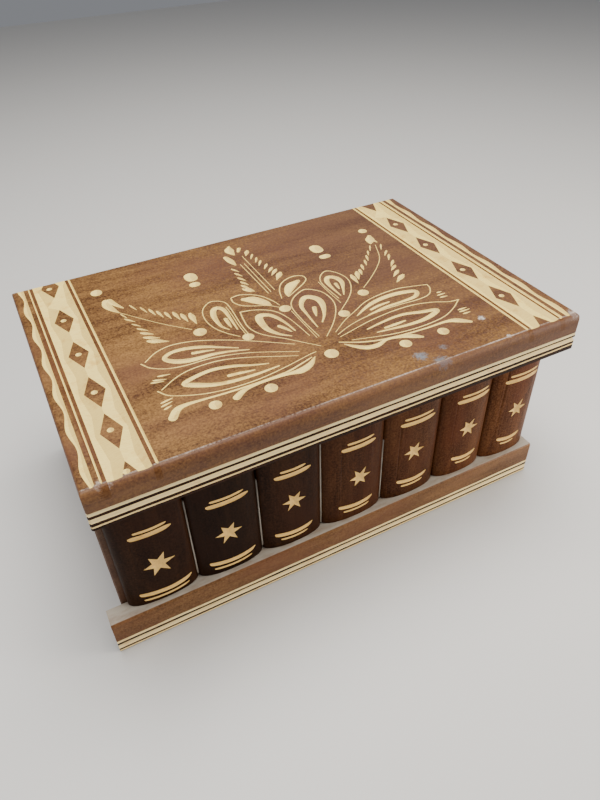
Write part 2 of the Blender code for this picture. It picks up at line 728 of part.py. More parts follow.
def book_pocket():
    """The hollow under the lid's front edge that the sliding book rises into."""
    half = book_half(KEYHOLE_BOOK) + 2 * GAP
    low = (LOCK_X - half, BODY_FRONT_Y - BOOK_PROUD - 2 * GAP, LID_BOTTOM_Z - GAP)
    high = (LOCK_X + half, BODY_FRONT_Y + GAP / 2, BODY_HEIGHT + BOOK_LIFT + 2 * GAP)
    return low, high


def build_lid_rims():
    """The four strips under the lid's top board; the front one is deep and carries the strike."""
    half = LID_LENGTH / 2
    top = LID_BOTTOM_Z + RIM_HEIGHT
    inner_front = LID_FRONT_Y + FRONT_RIM_DEPTH
    front = block("lid_front_rim", (-half, LID_FRONT_Y, LID_BOTTOM_Z), (half, inner_front, top),
                  RIM_WOOD)
    bevel(front, BOARD_ROUND, 1)
    cut(front, block("rim_book_pocket", *book_pocket(), None, CUTTERS))
    y = strike_y()
    side = STRIKE_LENGTH / 2 + GAP
    depth = SCREW_HEAD_HEIGHT + STRIKE_PLATE + 2 * GAP
    cut(front, block("strike_recess", (LOCK_X - side, y - STRIKE_WIDTH / 2 - GAP,
                                       LID_BOTTOM_Z - GAP),
                     (LOCK_X + side, y + STRIKE_WIDTH / 2 + GAP, LID_BOTTOM_Z + depth), None,
                     CUTTERS))
    bar = BOLT_WIDTH / 2 + 2 * GAP
    thick = BOLT_THICKNESS / 2 + 2 * GAP
    cut(front, block("bolt_hole", (LOCK_X - bar, y - thick, LID_BOTTOM_Z),
                     (LOCK_X + bar, y + thick, BODY_HEIGHT + BOLT_LIFT + GAP), None, CUTTERS))
    cut(front, screw_holes("strike_screw_holes", strike_screw_places(), (0, 0, 1)))
    back = block("lid_back_rim", (-half, BACK_Y - LID_RIM, LID_BOTTOM_Z), (half, BACK_Y, top),
                 RIM_WOOD)
    bevel(back, BOARD_ROUND, 1)
    cut(back, screw_holes("back_rim_screw_holes", hinge_screw_places(1), (0, -1, 0)))
    low_y = inner_front + GAP
    high_y = BACK_Y - LID_RIM - GAP
    left = block("lid_left_rim", (-half, low_y, LID_BOTTOM_Z), (-half + LID_RIM, high_y, top),
                 RIM_WOOD)
    right = block("lid_right_rim", (half - LID_RIM, low_y, LID_BOTTOM_Z), (half, high_y, top),
                  RIM_WOOD)
    bevel(left, BOARD_ROUND, 1)
    bevel(right, BOARD_ROUND, 1)
    return [front, back, left, right]


def build_strike():
    """The plate under the lid that the bolt passes through, with its two screws."""
    y = strike_y()
    low = LID_BOTTOM_Z + SCREW_HEAD_HEIGHT + 2 * GAP
    side = STRIKE_LENGTH / 2
    plate = block("strike_plate", (LOCK_X - side, y - STRIKE_WIDTH / 2, low),
                  (LOCK_X + side, y + STRIKE_WIDTH / 2, low + STRIKE_PLATE), BRASS)
    bar = BOLT_WIDTH / 2 + GAP
    thick = BOLT_THICKNESS / 2 + GAP
    cut(plate, block("strike_slot", (LOCK_X - bar, y - thick, low - GAP),
                     (LOCK_X + bar, y + thick, low + STRIKE_PLATE + GAP), None, CUTTERS))
    cut(plate, screw_holes("strike_plate_holes", strike_screw_places(), (0, 0, 1)))
    return [plate, *screws("strike_screw", strike_screw_places(), (0, 0, 1), BRASS)]


# The hinges.

def build_leaf(name, x, side, knuckles):
    """A hinge leaf below (-1) or above (1) the axis, with knuckles at given (low, high) in X."""
    y = BACK_Y + GAP
    heights = sorted((HINGE_AXIS_Z + side * HINGE_LEAF_START, HINGE_AXIS_Z + side * HINGE_LEAF_END))
    leaf = block(name, (x - HINGE_LENGTH / 2, y, heights[0]),
                 (x + HINGE_LENGTH / 2, y + HINGE_LEAF, heights[1]), BRASS)
    for count, (low, high) in enumerate(knuckles):
        tag = "%s_knuckle_%d" % (name, count)
        tab = sorted((HINGE_AXIS_Z, HINGE_AXIS_Z + side * 2 * HINGE_LEAF_START))
        join(leaf, block(tag + "_tab", (low, y, tab[0]), (high, y + HINGE_LEAF, tab[1]), None,
                         CUTTERS))
        join(leaf, rod(tag, HINGE_KNUCKLE, (low, HINGE_AXIS_Y, HINGE_AXIS_Z),
                       (high, HINGE_AXIS_Y, HINGE_AXIS_Z), None, CUTTERS, 28))
    bore = HINGE_PIN + HINGE_PIN_CLEARANCE
    cut(leaf, rod(name + "_bore", bore, (x - HINGE_LENGTH, HINGE_AXIS_Y, HINGE_AXIS_Z),
                  (x + HINGE_LENGTH, HINGE_AXIS_Y, HINGE_AXIS_Z), None, CUTTERS, 24))
    places = [place for place in hinge_screw_places(side) if abs(place[0] - x) < HINGE_LENGTH]
    cut(leaf, screw_holes(name + "_holes", places, (0, -1, 0)))
    return leaf


def build_hinge(tag, x):
    """A butt hinge on the back: the body's leaf with two knuckles, the lid's with one, a pin."""
    third = HINGE_LENGTH / 3
    low = x - HINGE_LENGTH / 2
    outer = ((low, low + third - GAP), (low + 2 * third + GAP, low + 3 * third))
    build_leaf("hinge_body_leaf_" + tag, x, -1, outer)
    lid_leaf = build_leaf("hinge_lid_leaf_" + tag, x, 1, ((low + third, low + 2 * third),))
    rod("hinge_pin_" + tag, HINGE_PIN, (low - GAP, HINGE_AXIS_Y, HINGE_AXIS_Z),
        (low + HINGE_LENGTH + GAP, HINGE_AXIS_Y, HINGE_AXIS_Z), STEEL, None, 24)
    return lid_leaf


# Assembly.

build_front_wall()
build_other_walls()
build_housing()
build_key_plate()
build_lock_plate()
books = {number: build_book(number) for number in range(1, len(BOOK_SHARES) + 1)}
build_slider()

carried("keyhole_book_axis", (LOCK_X, BODY_FRONT_Y, BOOK_BOTTOM_Z), [books[KEYHOLE_BOOK]])
carried("key_drawer_axis", (DRAWER_X, BODY_FRONT_Y, DRAWER_Z),
        [books[DRAWER_BOOK], build_drawer(), build_key()])
build_plug()
build_bolt()

lid_pieces = [build_lid_panel(), *build_lid_rims(), *build_strike()]
for hinge_tag, hinge_x in zip(("left", "right"), HINGE_X):
    lid_pieces.append(build_hinge(hinge_tag, hinge_x))
screws("hinge_body_screw", hinge_screw_places(-1), (0, -1, 0), BRASS)
lid_pieces.extend(screws("hinge_lid_screw", hinge_screw_places(1), (0, -1, 0), BRASS))
carried("lid_hinge_axis", (0, HINGE_AXIS_Y, HINGE_AXIS_Z), lid_pieces)
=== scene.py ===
"""Looks of a carved wooden puzzle box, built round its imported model.

The lid's top board and the seven books are carved sheets, the lid's rims and the foot moulding are
grooved, and every other board, plate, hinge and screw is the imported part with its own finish.
Lengths in the sections are in millimetres unless a value says otherwise.
"""

import json
import math

import bmesh
import bpy
import numpy as np
from mathutils import Matrix, Vector
from mathutils.geometry import delaunay_2d_cdt


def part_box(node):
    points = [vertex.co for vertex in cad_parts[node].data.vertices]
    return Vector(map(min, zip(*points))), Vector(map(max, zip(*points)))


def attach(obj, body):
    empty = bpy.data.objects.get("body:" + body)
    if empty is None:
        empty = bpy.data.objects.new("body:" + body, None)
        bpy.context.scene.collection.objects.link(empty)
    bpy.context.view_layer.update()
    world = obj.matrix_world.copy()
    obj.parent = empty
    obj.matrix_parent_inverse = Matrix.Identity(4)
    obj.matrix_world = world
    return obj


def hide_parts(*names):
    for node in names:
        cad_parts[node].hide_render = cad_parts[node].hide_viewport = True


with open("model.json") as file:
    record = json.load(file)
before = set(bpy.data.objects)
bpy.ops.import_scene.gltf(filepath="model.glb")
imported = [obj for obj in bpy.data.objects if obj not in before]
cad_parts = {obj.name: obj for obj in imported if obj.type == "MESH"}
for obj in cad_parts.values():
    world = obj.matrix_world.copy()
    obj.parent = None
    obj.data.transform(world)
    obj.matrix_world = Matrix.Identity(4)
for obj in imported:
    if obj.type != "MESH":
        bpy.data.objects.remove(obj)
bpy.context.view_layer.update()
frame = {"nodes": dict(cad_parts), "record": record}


# The view: a short lens above the box's left front corner, tilted a little, looking down at it.

MM = 0.001
EYE = Vector((-108.8, -238.9, 265.6)) * MM
LOOK_AT = Vector((30.2, 50.9, -4.9)) * MM
ROLL = math.radians(-2.3)

lens = bpy.data.cameras.new("view")
lens.lens = 29.02
lens.sensor_width = 36
lens.shift_x = 0.0034
lens.shift_y = 0.0008
lens.clip_start = 0.01
camera = bpy.data.objects.new("view", lens)
camera.location = EYE
turn = (LOOK_AT - EYE).to_track_quat("-Z", "Y").to_matrix() @ Matrix.Rotation(ROLL, 3, "Z")
camera.rotation_euler = turn.to_euler()
bpy.context.scene.collection.objects.link(camera)
bpy.context.scene.camera = camera


# The stage: a pale floor, an even pale surrounding and three large soft lamps.

class Wire:
    """A socket of a material's tree; arithmetic on it adds Math nodes."""

    def __init__(self, tree, socket=None):
        self.tree = tree
        self.socket = socket

    def node(self, kind, settings, inputs, output=0):
        """Add one node: its settings first, then a value or a wire for each socket named."""
        made = self.tree.nodes.new(kind)
        for name, value in settings.items():
            setattr(made, name, value)
        for name, value in inputs.items():
            if isinstance(value, Wire):
                self.tree.links.new(value.socket, made.inputs[name])
            else:
                made.inputs[name].default_value = value
        return Wire(self.tree, made.outputs[output]) if made.outputs else None

    def maths(self, operation, first, second=0.0):
        """A Math node on two values or wires."""
        return self.node("ShaderNodeMath", {"operation": operation}, {0: first, 1: second})

    def __add__(self, other):
        return self.maths("ADD", self, other)

    def __sub__(self, other):
        return self.maths("SUBTRACT", self, other)

    def __rsub__(self, other):
        return self.maths("SUBTRACT", other, self)

    def __mul__(self, other):
        return self.maths("MULTIPLY", self, other)

    __radd__ = __add__
    __rmul__ = __mul__

    def rise(self, low, high):
        """0 below low, 1 above high, and a smooth step between them."""
        return self.node("ShaderNodeMapRange", {"interpolation_type": "SMOOTHSTEP"},
                         {"Value": self, "From Min": low, "From Max": high})

    def mix(self, first, second):
        """A colour between two others, by this share of the second."""
        pair = [value if isinstance(value, Wire) else (*value, 1) for value in (first, second)]
        return self.node("ShaderNodeMix", {"data_type": "RGBA"},
                         {0: self, 6: pair[0], 7: pair[1]}, 2)


def new_finish(name):
    """An empty material and the wire that its nodes start from."""
    material = bpy.data.materials.new(name)
    material.use_nodes = True
    material.node_tree.nodes.clear()
    return material, Wire(material.node_tree)


def close_finish(wire, **inputs):
    """Join a Principled BSDF with these inputs to the material's output."""
    named = {name.replace("_", " "): value for name, value in inputs.items()}
    shader = wire.node("ShaderNodeBsdfPrincipled", {}, named)
    wire.node("ShaderNodeOutputMaterial", {}, {"Surface": shader})


def noise(wire, feature, detail=3.0, rough=0.5, offset=(0, 0, 0)):
    """Noise on the piece's own coordinates, whose features are this many millimetres long."""
    place = wire.node("ShaderNodeTexCoord", {}, {}, "Object")
    scale = [1 / (size * MM) for size in feature]
    spread = wire.node("ShaderNodeMapping", {}, {"Vector": place, "Scale": scale,
                                                 "Location": offset})
    return wire.node("ShaderNodeTexNoise", {}, {"Vector": spread, "Scale": 1.0, "Detail": detail,
                                                "Roughness": rough})


def lamp(name, place, aim, size, watts, colour):
    """A square soft lamp at a place in millimetres, pointed at another."""
    light = bpy.data.lights.new(name, "AREA")
    light.size = size * MM
    light.energy = watts
    light.color = colour
    built = bpy.data.objects.new(name, light)
    built.location = Vector(place) * MM
    built.rotation_euler = (Vector(aim) - Vector(place)).to_track_quat("-Z", "Y").to_euler()
    bpy.context.scene.collection.objects.link(built)


lamp("overhead", (40, 60, 900), (0, 0, 60), 650, 16.5, (1.0, 0.97, 0.93))
lamp("front_right", (540, -340, 240), (40, -60, 60), 300, 3.6, (1.0, 0.94, 0.86))
lamp("left_fill", (-700, -300, 400), (0, 0, 60), 500, 2.0, (0.97, 0.98, 1.0))

FLOOR_SIZE = 3000
floor_mesh = bpy.data.meshes.new("floor")
half = FLOOR_SIZE * MM / 2
floor_mesh.from_pydata([(-half, -half, 0), (half, -half, 0), (half, half, 0), (-half, half, 0)],
                       [], [(0, 1, 2, 3)])
floor = bpy.data.objects.new("floor", floor_mesh)
bpy.context.scene.collection.objects.link(floor)
floor_finish, wire = new_finish("pale_floor")
close_finish(wire, Base_Color=(0.56, 0.55, 0.53, 1), Roughness=0.6)
floor_mesh.materials.append(floor_finish)

world = bpy.context.scene.world or bpy.data.worlds.new("surrounding")
bpy.context.scene.world = world
world.use_nodes = True
world.node_tree.nodes["Background"].inputs["Color"].default_value = (0.9, 0.93, 1.0, 1)
world.node_tree.nodes["Background"].inputs["Strength"].default_value = 0.24


# The lid's top board: one walnut-stained limewood board, coved along its front and rounded over at
# its ends and back. It is satin lacquered, then carved by hand with gouges through the stain to
# the pale wood.

ALONG_X = (1.0, 0.0, 0.0)


def box_of(node):
    """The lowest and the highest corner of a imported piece, in millimetres."""
    return [np.array(corner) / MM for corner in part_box(node)]


def grained(along, length, across):
    """Feature sizes of grain that runs along one axis."""
    return [length if share else across for share in along]


def stained_wood(name, along, dark, light, red, rough=0.42, gloss=0.15, pore=0.5, patches=(),
                 layers=()):
    """Lacquered stained wood: broad figure, fibres, reddish clouds and short dark pores.

    Each noise is sized in millimetres along and across the grain. Patches are scuffs, chips or a
    broad painted sheen at (x, y, z, radius, amount, tint). Layers are (low, high, amount, tint)
    between two heights, such as a painted pale sheen along a top, or a darker band at the foot.
    """
    material, wire = new_finish(name)
    figure = noise(wire, grained(along, 55, 9), 4.0, 0.6).rise(0.3, 0.72)
    fibre = noise(wire, grained(along, 16, 0.55), 3.0, 0.6, (7, 3, 5))
    cloud = noise(wire, grained(along, 60, 34), 3.0, 0.55, (3, 8, 1)).rise(0.42, 0.7)
    pores = noise(wire, grained(along, 3.2, 0.3), 2.0, 0.5, (1, 2, 9)).rise(0.6, 0.72)
    streak = noise(wire, grained(along, 38, 1.6), 2.0, 0.5, (9, 1, 4)).rise(0.58, 0.78)
    speckle = noise(wire, (0.9, 0.9, 0.9), 2.0, 0.6, (8, 8, 3))
    tone = 0.5 * figure + 0.45 * fibre + 1.5 * speckle - 0.8
    colour = tone.mix(dark, light)
    colour = (0.55 * cloud).mix(colour, red)
    colour = (0.35 * streak).mix(colour, dark)
    shade = [0.35 * value for value in dark]
    colour = (pore * pores).mix(colour, shade)
    for x, y, z, radius, amount, tint in patches:
        place = wire.node("ShaderNodeTexCoord", {}, {}, "Object")
        apart = wire.node("ShaderNodeVectorMath", {"operation": "DISTANCE"},
                          {0: place, 1: (x * MM, y * MM, z * MM)}, "Value")
        ragged = noise(wire, (1.3, 1.3, 1.3), 5.0, 0.8, (x, y, z))
        near = 1 - (apart * (1 / (radius * MM)) + 3.2 * ragged - 1.6).rise(0.35, 1.0)
        colour = (amount * near).mix(colour, tint)
    for low, high, amount, tint in layers:
        place = wire.node("ShaderNodeTexCoord", {}, {}, "Object")
        height = wire.node("ShaderNodeSeparateXYZ", {}, {"Vector": place}, "Z")
        uneven = noise(wire, (14, 5, 5), 4.0, 0.65, (6, 6, 2)).rise(0.25, 0.62)
        inside = height.rise((low - 0.2) * MM, low * MM) * (1 - height.rise(high * MM,
                                                                          (high + 0.2) * MM))
        colour = (amount * inside * (0.5 + 0.5 * uneven)).mix(colour, tint)
    wear = noise(wire, (9, 9, 9), 5.0, 0.7, (2, 4, 6))
    roughness = rough + 0.16 * (wear - 0.5) + 0.1 * pores
    relief = 0.6 * fibre - 0.7 * pores + 0.25 * wear
    normal = wire.node("ShaderNodeBump", {}, {"Height": relief, "Strength": 0.35,
                                              "Distance": 0.00012})
    close_finish(wire, Base_Color=colour, Roughness=roughness, Normal=normal,
                 Specular_IOR_Level=gloss)
    return material


def cut_wood(name, along, shade, pale, rough=0.5):
    """Pale wood bared by the gouge, lacquered thinly, with faint tool marks across the grain."""
    material, wire = new_finish(name)
    fibre = noise(wire, grained(along, 14, 0.5), 3.0, 0.6, (5, 5, 5))
    chatter = noise(wire, (0.9, 1.4, 0.9), 2.0, 0.5, (4, 1, 7))
    stain = noise(wire, (6, 6, 6), 4.0, 0.65, (1, 6, 2)).rise(0.5, 0.75)
    colour = (0.8 * fibre + 0.5 * stain - 0.1).mix(pale, shade)
    relief = 0.5 * fibre + 0.8 * chatter
    normal = wire.node("ShaderNodeBump", {}, {"Height": relief, "Strength": 0.4,
                                              "Distance": 0.00015})
    close_finish(wire, Base_Color=colour, Roughness=rough + 0.12 * (chatter - 0.5),
                 Normal=normal, Specular_IOR_Level=0.15)
    return material


def smooth(points, step):
    """Catmull-Rom curve through the points, sampled about every step."""
    given = np.asarray(points, float)
    ends = np.vstack((2 * given[0] - given[1], given, 2 * given[-1] - given[-2]))
    runs = []
    for a, b, c, d in zip(ends, ends[1:], ends[2:], ends[3:]):
        count = max(2, int(np.ceil(np.linalg.norm((c - b)[:2]) / step)))
        t = np.arange(count)[:, None] / count
        runs.append(b + 0.5 * (c - a) * t + (a - 2.5 * b + 2 * c - 0.5 * d) * t ** 2
                    + (1.5 * b - 0.5 * a - 1.5 * c + 0.5 * d) * t ** 3)
    return np.vstack((*runs, given[-1:]))


def gouge(points, deep=0.55, most=0.6, step=1.1):
    """A gouge stroke through (x, y, width) points.

    Across the stroke the cut is a parabola, as deep as a share of the half width up to a most.
    """
    line = smooth(points, step)
    line[:, 2] = np.maximum(line[:, 2], 0.3)
    centre = line[:, :2]
    reach = line[:, 2] / 2
    along = np.gradient(centre, axis=0)
    along /= np.maximum(np.linalg.norm(along, axis=1), 1e-9)[:, None]
    side = np.column_stack((-along[:, 1], along[:, 0]))
    arc = np.linspace(-math.pi / 2, math.pi / 2, 9)[1:-1, None]
    last = centre[-1] + reach[-1] * (np.cos(arc) * along[-1] + np.sin(arc) * side[-1])[::-1]
    first = centre[0] - reach[0] * (np.cos(arc) * along[0] - np.sin(arc) * side[0])[::-1]
    edge = reach[:, None] * side
    outline = np.vstack((centre + edge, last, (centre - edge)[::-1], first))
    guides = [centre]
    if reach.max() > 0.8:
        guides += [centre + 0.55 * edge, centre - 0.55 * edge]

    def depth(place):
        a, b = centre[:-1], centre[1:]
        run = np.maximum(((b - a) ** 2).sum(1), 1e-12)
        share = np.clip(((place[:, None] - a) * (b - a)).sum(2) / run, 0, 1)
        apart = np.linalg.norm(place[:, None] - a - share[..., None] * (b - a), axis=2)
        half = reach[:-1] + share * (reach[1:] - reach[:-1])
        floor_depth = np.minimum(deep * half, most)
        return (floor_depth * (1 - (apart / half) ** 2)).max(1)

    return {"closed": [outline], "open": guides, "depth": depth}


def chip(outer, islands=(), guides=(), slope=0.4, most=0.9):
    """A flat-sided cut bounded by closed outlines, with uncut islands.

    It is as deep as a slope times the distance to the nearest outline, up to a most.
    """
    outlines = [np.asarray(ring, float) for ring in (outer, *islands)]
    a = np.vstack(outlines)
    b = np.vstack([np.roll(ring, -1, axis=0) for ring in outlines])

    def depth(place):
        run = np.maximum(((b - a) ** 2).sum(1), 1e-12)
        share = np.clip(((place[:, None] - a) * (b - a)).sum(2) / run, 0, 1)
        apart = np.linalg.norm(place[:, None] - a - share[..., None] * (b - a), axis=2).min(1)
        y = place[:, 1:2]
        spans = (a[:, 1] > y) != (b[:, 1] > y)
        rise = np.where(b[:, 1] == a[:, 1], 1.0, b[:, 1] - a[:, 1])
        crossing = a[:, 0] + (y - a[:, 1]) * (b[:, 0] - a[:, 0]) / rise
        inside = (spans & (place[:, :1] < crossing)).sum(1) % 2 == 1
        return np.where(inside, np.minimum(slope * apart, most), -1.0)

    return {"closed": outlines, "open": [np.asarray(line, float) for line in guides],
            "depth": depth}


def cut_depth(cuts, place):
    """How deep the deepest of the cuts is at each place, and 0 where there is none."""
    deepest = np.zeros(len(place))
    for each in cuts:
        low = each["closed"][0].min(0) - 0.1
        high = each["closed"][0].max(0) + 0.1
        near = np.nonzero(((place > low) & (place < high)).all(1))[0]
        if len(near):
            deepest[near] = np.maximum(deepest[near], each["depth"](place[near]))
    return deepest


def carved_sheet(border, cuts, rows):
    """Triangles over a convex border that follow every cut's outline and every row.

    Returns the places and the triangles.
    """
    places = []
    edges = []
    for closed, lines in ((True, [border, *[line for each in cuts for line in each["closed"]]]),
                          (False, [*[line for each in cuts for line in each["open"]], *rows])):
        for line in lines:
            first = len(places)
            places.extend(Vector(point) for point in line)
            edges.extend((count, count + 1) for count in range(first, len(places) - 1))
            if closed:
                edges.append((len(places) - 1, first))
    found = delaunay_2d_cdt(places, edges, [], 0, 1e-4)
    flat = np.array([tuple(point) for point in found[0]])
    faces = np.array(found[2])
    corners = flat[faces]
    area = np.cross(corners[:, 1] - corners[:, 0], corners[:, 2] - corners[:, 0])
    faces = np.where((area < 0)[:, None], faces[:, ::-1], faces)
    centres = corners.mean(1)
    side = np.roll(border, -1, axis=0) - border
    inward = np.column_stack((-side[:, 1], side[:, 0]))
    within = (((centres[:, None] - border) * inward).sum(2) > 0).all(1)
    used, faces = np.unique(faces[within & (np.abs(area) > 1e-9)], return_inverse=True)
    flat = flat[used]
    faces = faces.reshape(-1, 3)
    return flat, faces


def show_piece(name, verts, faces, kinds, finishes, body, replaced):
    """A mesh from millimetres whose faces' kinds pick their finish, riding on a body.

    Edges between two kinds stay sharp, and the rest are shaded smooth.
    """
    mesh = bpy.data.meshes.new(name)
    mesh.from_pydata(np.asarray(verts) * MM, [], [tuple(face) for face in faces])
    for finish in finishes:
        mesh.materials.append(finish)
    mesh.polygons.foreach_set("material_index", np.asarray(kinds, np.int32))
    shape = bmesh.new()
    shape.from_mesh(mesh)
    bmesh.ops.remove_doubles(shape, verts=shape.verts, dist=0.001 * MM)
    shape.to_mesh(mesh)
    shape.free()
    mesh.shade_smooth()
    edge_of = np.zeros(len(mesh.loops), np.int32)
    mesh.loops.foreach_get("edge_index", edge_of)
    sizes = np.zeros(len(mesh.polygons), np.int32)
    mesh.polygons.foreach_get("loop_total", sizes)
    kind = np.zeros(len(mesh.polygons), np.int32)
    mesh.polygons.foreach_get("material_index", kind)
    least = np.full(len(mesh.edges), len(finishes))
    largest = np.full(len(mesh.edges), -1)
    np.minimum.at(least, edge_of, np.repeat(kind, sizes))
    np.maximum.at(largest, edge_of, np.repeat(kind, sizes))
    sharp = mesh.attributes.new("sharp_edge", "BOOLEAN", "EDGE")
    sharp.data.foreach_set("value", least != largest)
    mesh.update()
    piece = bpy.data.objects.new(name, mesh)
    bpy.context.scene.collection.objects.link(piece)
    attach(piece, body)
    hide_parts(*replaced)
    return piece


panel_low, panel_high = box_of("lid_top_panel")
HALF_LENGTH = panel_high[0]
HALF_DEPTH = panel_high[1]

# The posy: sixteen dots of (x, y, across, along), then feathers, petals and leaves as strokes of
# (x, y, width), and barbs and dashes of (x, y, end x, end y, width).
DOTS = ((-75.2, 54.4, 2.8, 3), (-29.3, 45.6, 3.2, 4.3), (-30, 37.7, 2.8, 2.2), (-42.5, -3.3, 3, 3),
        (-25.2, -17.5, 2.6, 2.6), (-55, -53.7, 2.6, 2.6), (-31.7, -54.8, 2.7, 2.7),
        (0.5, -46.4, 3.1, 3.1), (-0.8, -4.7, 2.8, 2.8), (40, 40.4, 3.2, 4.5), (40, 30.8, 3.2, 2),
        (72.5, 46.2, 2.4, 2.4), (38.1, -10.6, 2.7, 2.7), (20.8, -22.1, 2.7, 2.7),
        (31.7, -55.7, 2.7, 2.7), (51.2, -56, 2.6, 2.6))

LEFT_FEATHER = (
    ((-73.2, 44, 3.5), (-73.6, 40, 4.2), (-72.3, 35.5, 3), (-70.2, 31, 0.6)),
    ((-71.5, 44, 3), (-69.8, 39, 2.4), (-67.3, 34, 0.8)),
    ((-70, 30.8, 0.7), (-62.5, 20.8, 0.7), (-55, 11.2, 0.7), (-45, 0.4, 0.7)),
)
LEFT_BARBS = ((-64, 35, -62.2, 29.2, 0.9), (-60, 30.4, -58.5, 24.6, 1.1),
              (-56.9, 26.7, -55.7, 20.4, 1.4), (-54.2, 23.3, -53.1, 16.7, 1.5),
              (-51.2, 20.4, -50.2, 13.8, 1.6), (-47.8, 18.3, -46.9, 10.8, 2),
              (-45, 15, -44.3, 7.5, 2.2), (-41.3, 13.3, -41.5, 3.8, 3),
              (-69.8, 29.2, -68.2, 24.6, 0.8), (-69.3, 24.2, -65.8, 19.6, 1.2),
              (-67.5, 18.3, -64.6, 14.6, 1), (-66.4, 13.3, -62.7, 9.6, 1.4),
              (-66, 9.2, -61.3, 5.4, 1.9), (-65.8, 5, -59.8, 1.3, 2.2),
              (-65, 1.3, -57, -3.3, 3.2))
CENTRE_FEATHER = (
    ((0.4, 67, 1), (-1.3, 62.5, 5), (-0.8, 56.7, 1)),
    ((4.2, 62, 2.2), (2.5, 59, 1.6)),
    ((-6, 56, 2.6), (-5.2, 51, 3.5), (-4.5, 46, 1)),
    ((-2.1, 45, 0.8), (-1.7, 11.7, 0.8)),
    ((0, 45, 0.8), (0, 12.5, 0.8)),
    ((2.3, 53, 0.8), (2.3, 13.3, 0.8)),
)
CENTRE_BARBS = ((-8, 43, -5.8, 38.5, 1.3), (-8.3, 38, -6.1, 33.5, 1.4), (-8.6, 33, -6.4, 28.5, 1.6),
                (-9, 28.5, -6.8, 24, 1.7), (-10, 25, -7.8, 20.5, 1.9),
                (-10.8, 21.7, -8.6, 17.2, 2), (-9.6, 20.8, -6.7, 16.7, 3.2),
                (7.1, 57.5, 4.2, 52.5, 2.6), (7.9, 52.5, 5, 47.9, 1.3),
                (8.3, 47.9, 5.8, 43.3, 1.3), (8.8, 43.8, 5.8, 39.2, 1.4),
                (10, 38.8, 6.7, 34.6, 1.6), (10.8, 34.2, 7.1, 30.4, 1.8),
                (11.7, 31.3, 7.1, 26.7, 2.2), (12.1, 27.1, 7.3, 21.3, 3.2))
RIGHT_FEATHER = (
    ((72.5, 39.2, 2), (70.4, 35, 5), (68.3, 30.8, 0.8)),
    ((71.2, 36, 3), (72.1, 30.8, 0.8)),
    ((69.6, 28.3, 0.8), (64.2, 15.8, 0.8), (57.5, 7.5, 0.8), (48.3, -0.8, 0.8),
     (40.8, -6.7, 0.8)),
)
RIGHT_BARBS = ((66.7, 29.2, 63.8, 24.2, 0.9), (62.5, 24.6, 60.4, 20.4, 1.1),
               (59.2, 20.8, 57.1, 15.4, 1.3), (55.7, 16.7, 53.8, 11.7, 1.4),
               (51.7, 13.3, 50, 8.3, 1.6), (48.3, 9.6, 46.7, 4.6, 1.9),
               (45.8, 8.3, 42.9, 1.3, 2.6), (41.7, 6.7, 40.7, -1.7, 2.6),
               (72.5, 27.5, 69.6, 22.5, 1), (71.3, 20, 67.5, 15.8, 1.3),
               (70, 15.8, 66.7, 10.8, 1.4), (68.3, 9.2, 63.8, 4.2, 1.6),
               (66.3, 4.2, 61.7, 0.8, 2), (64.6, -0.8, 59.2, -5, 2.2),
               (64.2, -5.8, 57.5, -10.4, 3))
LEFT_ROUND_PETAL = (
    ((-24.2, -16.7, 1), (-24.2, -7.5, 1), (-23.3, 3.3, 1), (-22.9, 11.7, 1), (-24.2, 15.8, 1),
     (-28.3, 18.3, 1), (-31.7, 17.1, 1), (-35.4, 12.5, 1), (-36.9, 5, 1), (-35.8, -3.3, 1),
     (-32.5, -10, 1), (-28.3, -15.4, 0.8)),
    ((-25.3, -15, 0.7), (-25.3, -7, 0.8), (-24.6, 3.3, 0.8), (-24.4, 10.5, 0.6)),
    ((-30.4, -7.9, 0.6), (-32.5, -3.3, 1.5), (-32.5, 5, 2.6), (-30.8, 10.4, 2.9),
     (-28.3, 11.7, 2.6), (-26.3, 8.3, 2.2), (-26.5, -0.8, 1.3), (-27, -9.6, 0.7)),
    ((-28.5, 0.8, 2), (-28.7, -3, 1.6), (-28.8, -6.7, 0.6)),
)
LEFT_SMALL_PETAL = (
    ((-19.3, 16.7, 1.2), (-15, 17.3, 1.2), (-10, 15, 1.2), (-5.8, 10.8, 1.2), (-2.9, 4.2, 1.1),
     (-1.7, -0.8, 0.8)),
    ((-19.3, 16.7, 1.2), (-19.8, 12.5, 1.2), (-17.5, 7.9, 1.2), (-12.5, 4.6, 1.2),
     (-6.7, 1.7, 1), (-2.5, -2.5, 0.8)),
    ((-14.6, 12.5, 2.5), (-10.8, 10, 5.5), (-6.7, 4.2, 4), (-5, 1.3, 0.5)),
)
LEFT_MIDDLE_PETAL = (
    ((-20.4, 2.9, 1.4), (-15, 1.7, 1.2), (-10, -0.8, 1.2), (-5.8, -5, 1.1), (-3.3, -11.7, 1),
     (-2.1, -20, 0.9), (-1.3, -30, 0.7)),
    ((-20.4, 2.9, 1.2), (-21.5, -3.3, 1.2), (-22.1, -10, 1.2), (-20.8, -15.8, 1.1),
     (-17.5, -20.8, 1), (-11.7, -26.7, 0.9), (-6.7, -32.5, 0.8), (-0.8, -39.2, 0.7)),
    ((-8.3, -26.3, 0.6), (-12.5, -22.1, 1.6), (-15.4, -15.8, 2.8), (-15.4, -8.3, 3.6),
     (-13.8, -4.6, 3.4), (-10, -5.8, 2.4), (-7.5, -10, 2), (-5.8, -16.7, 1.2),
     (-5, -23.3, 0.7)),
    ((-9.6, -16.7, 2), (-7.9, -20, 1.6), (-6.7, -23.3, 0.6)),
)
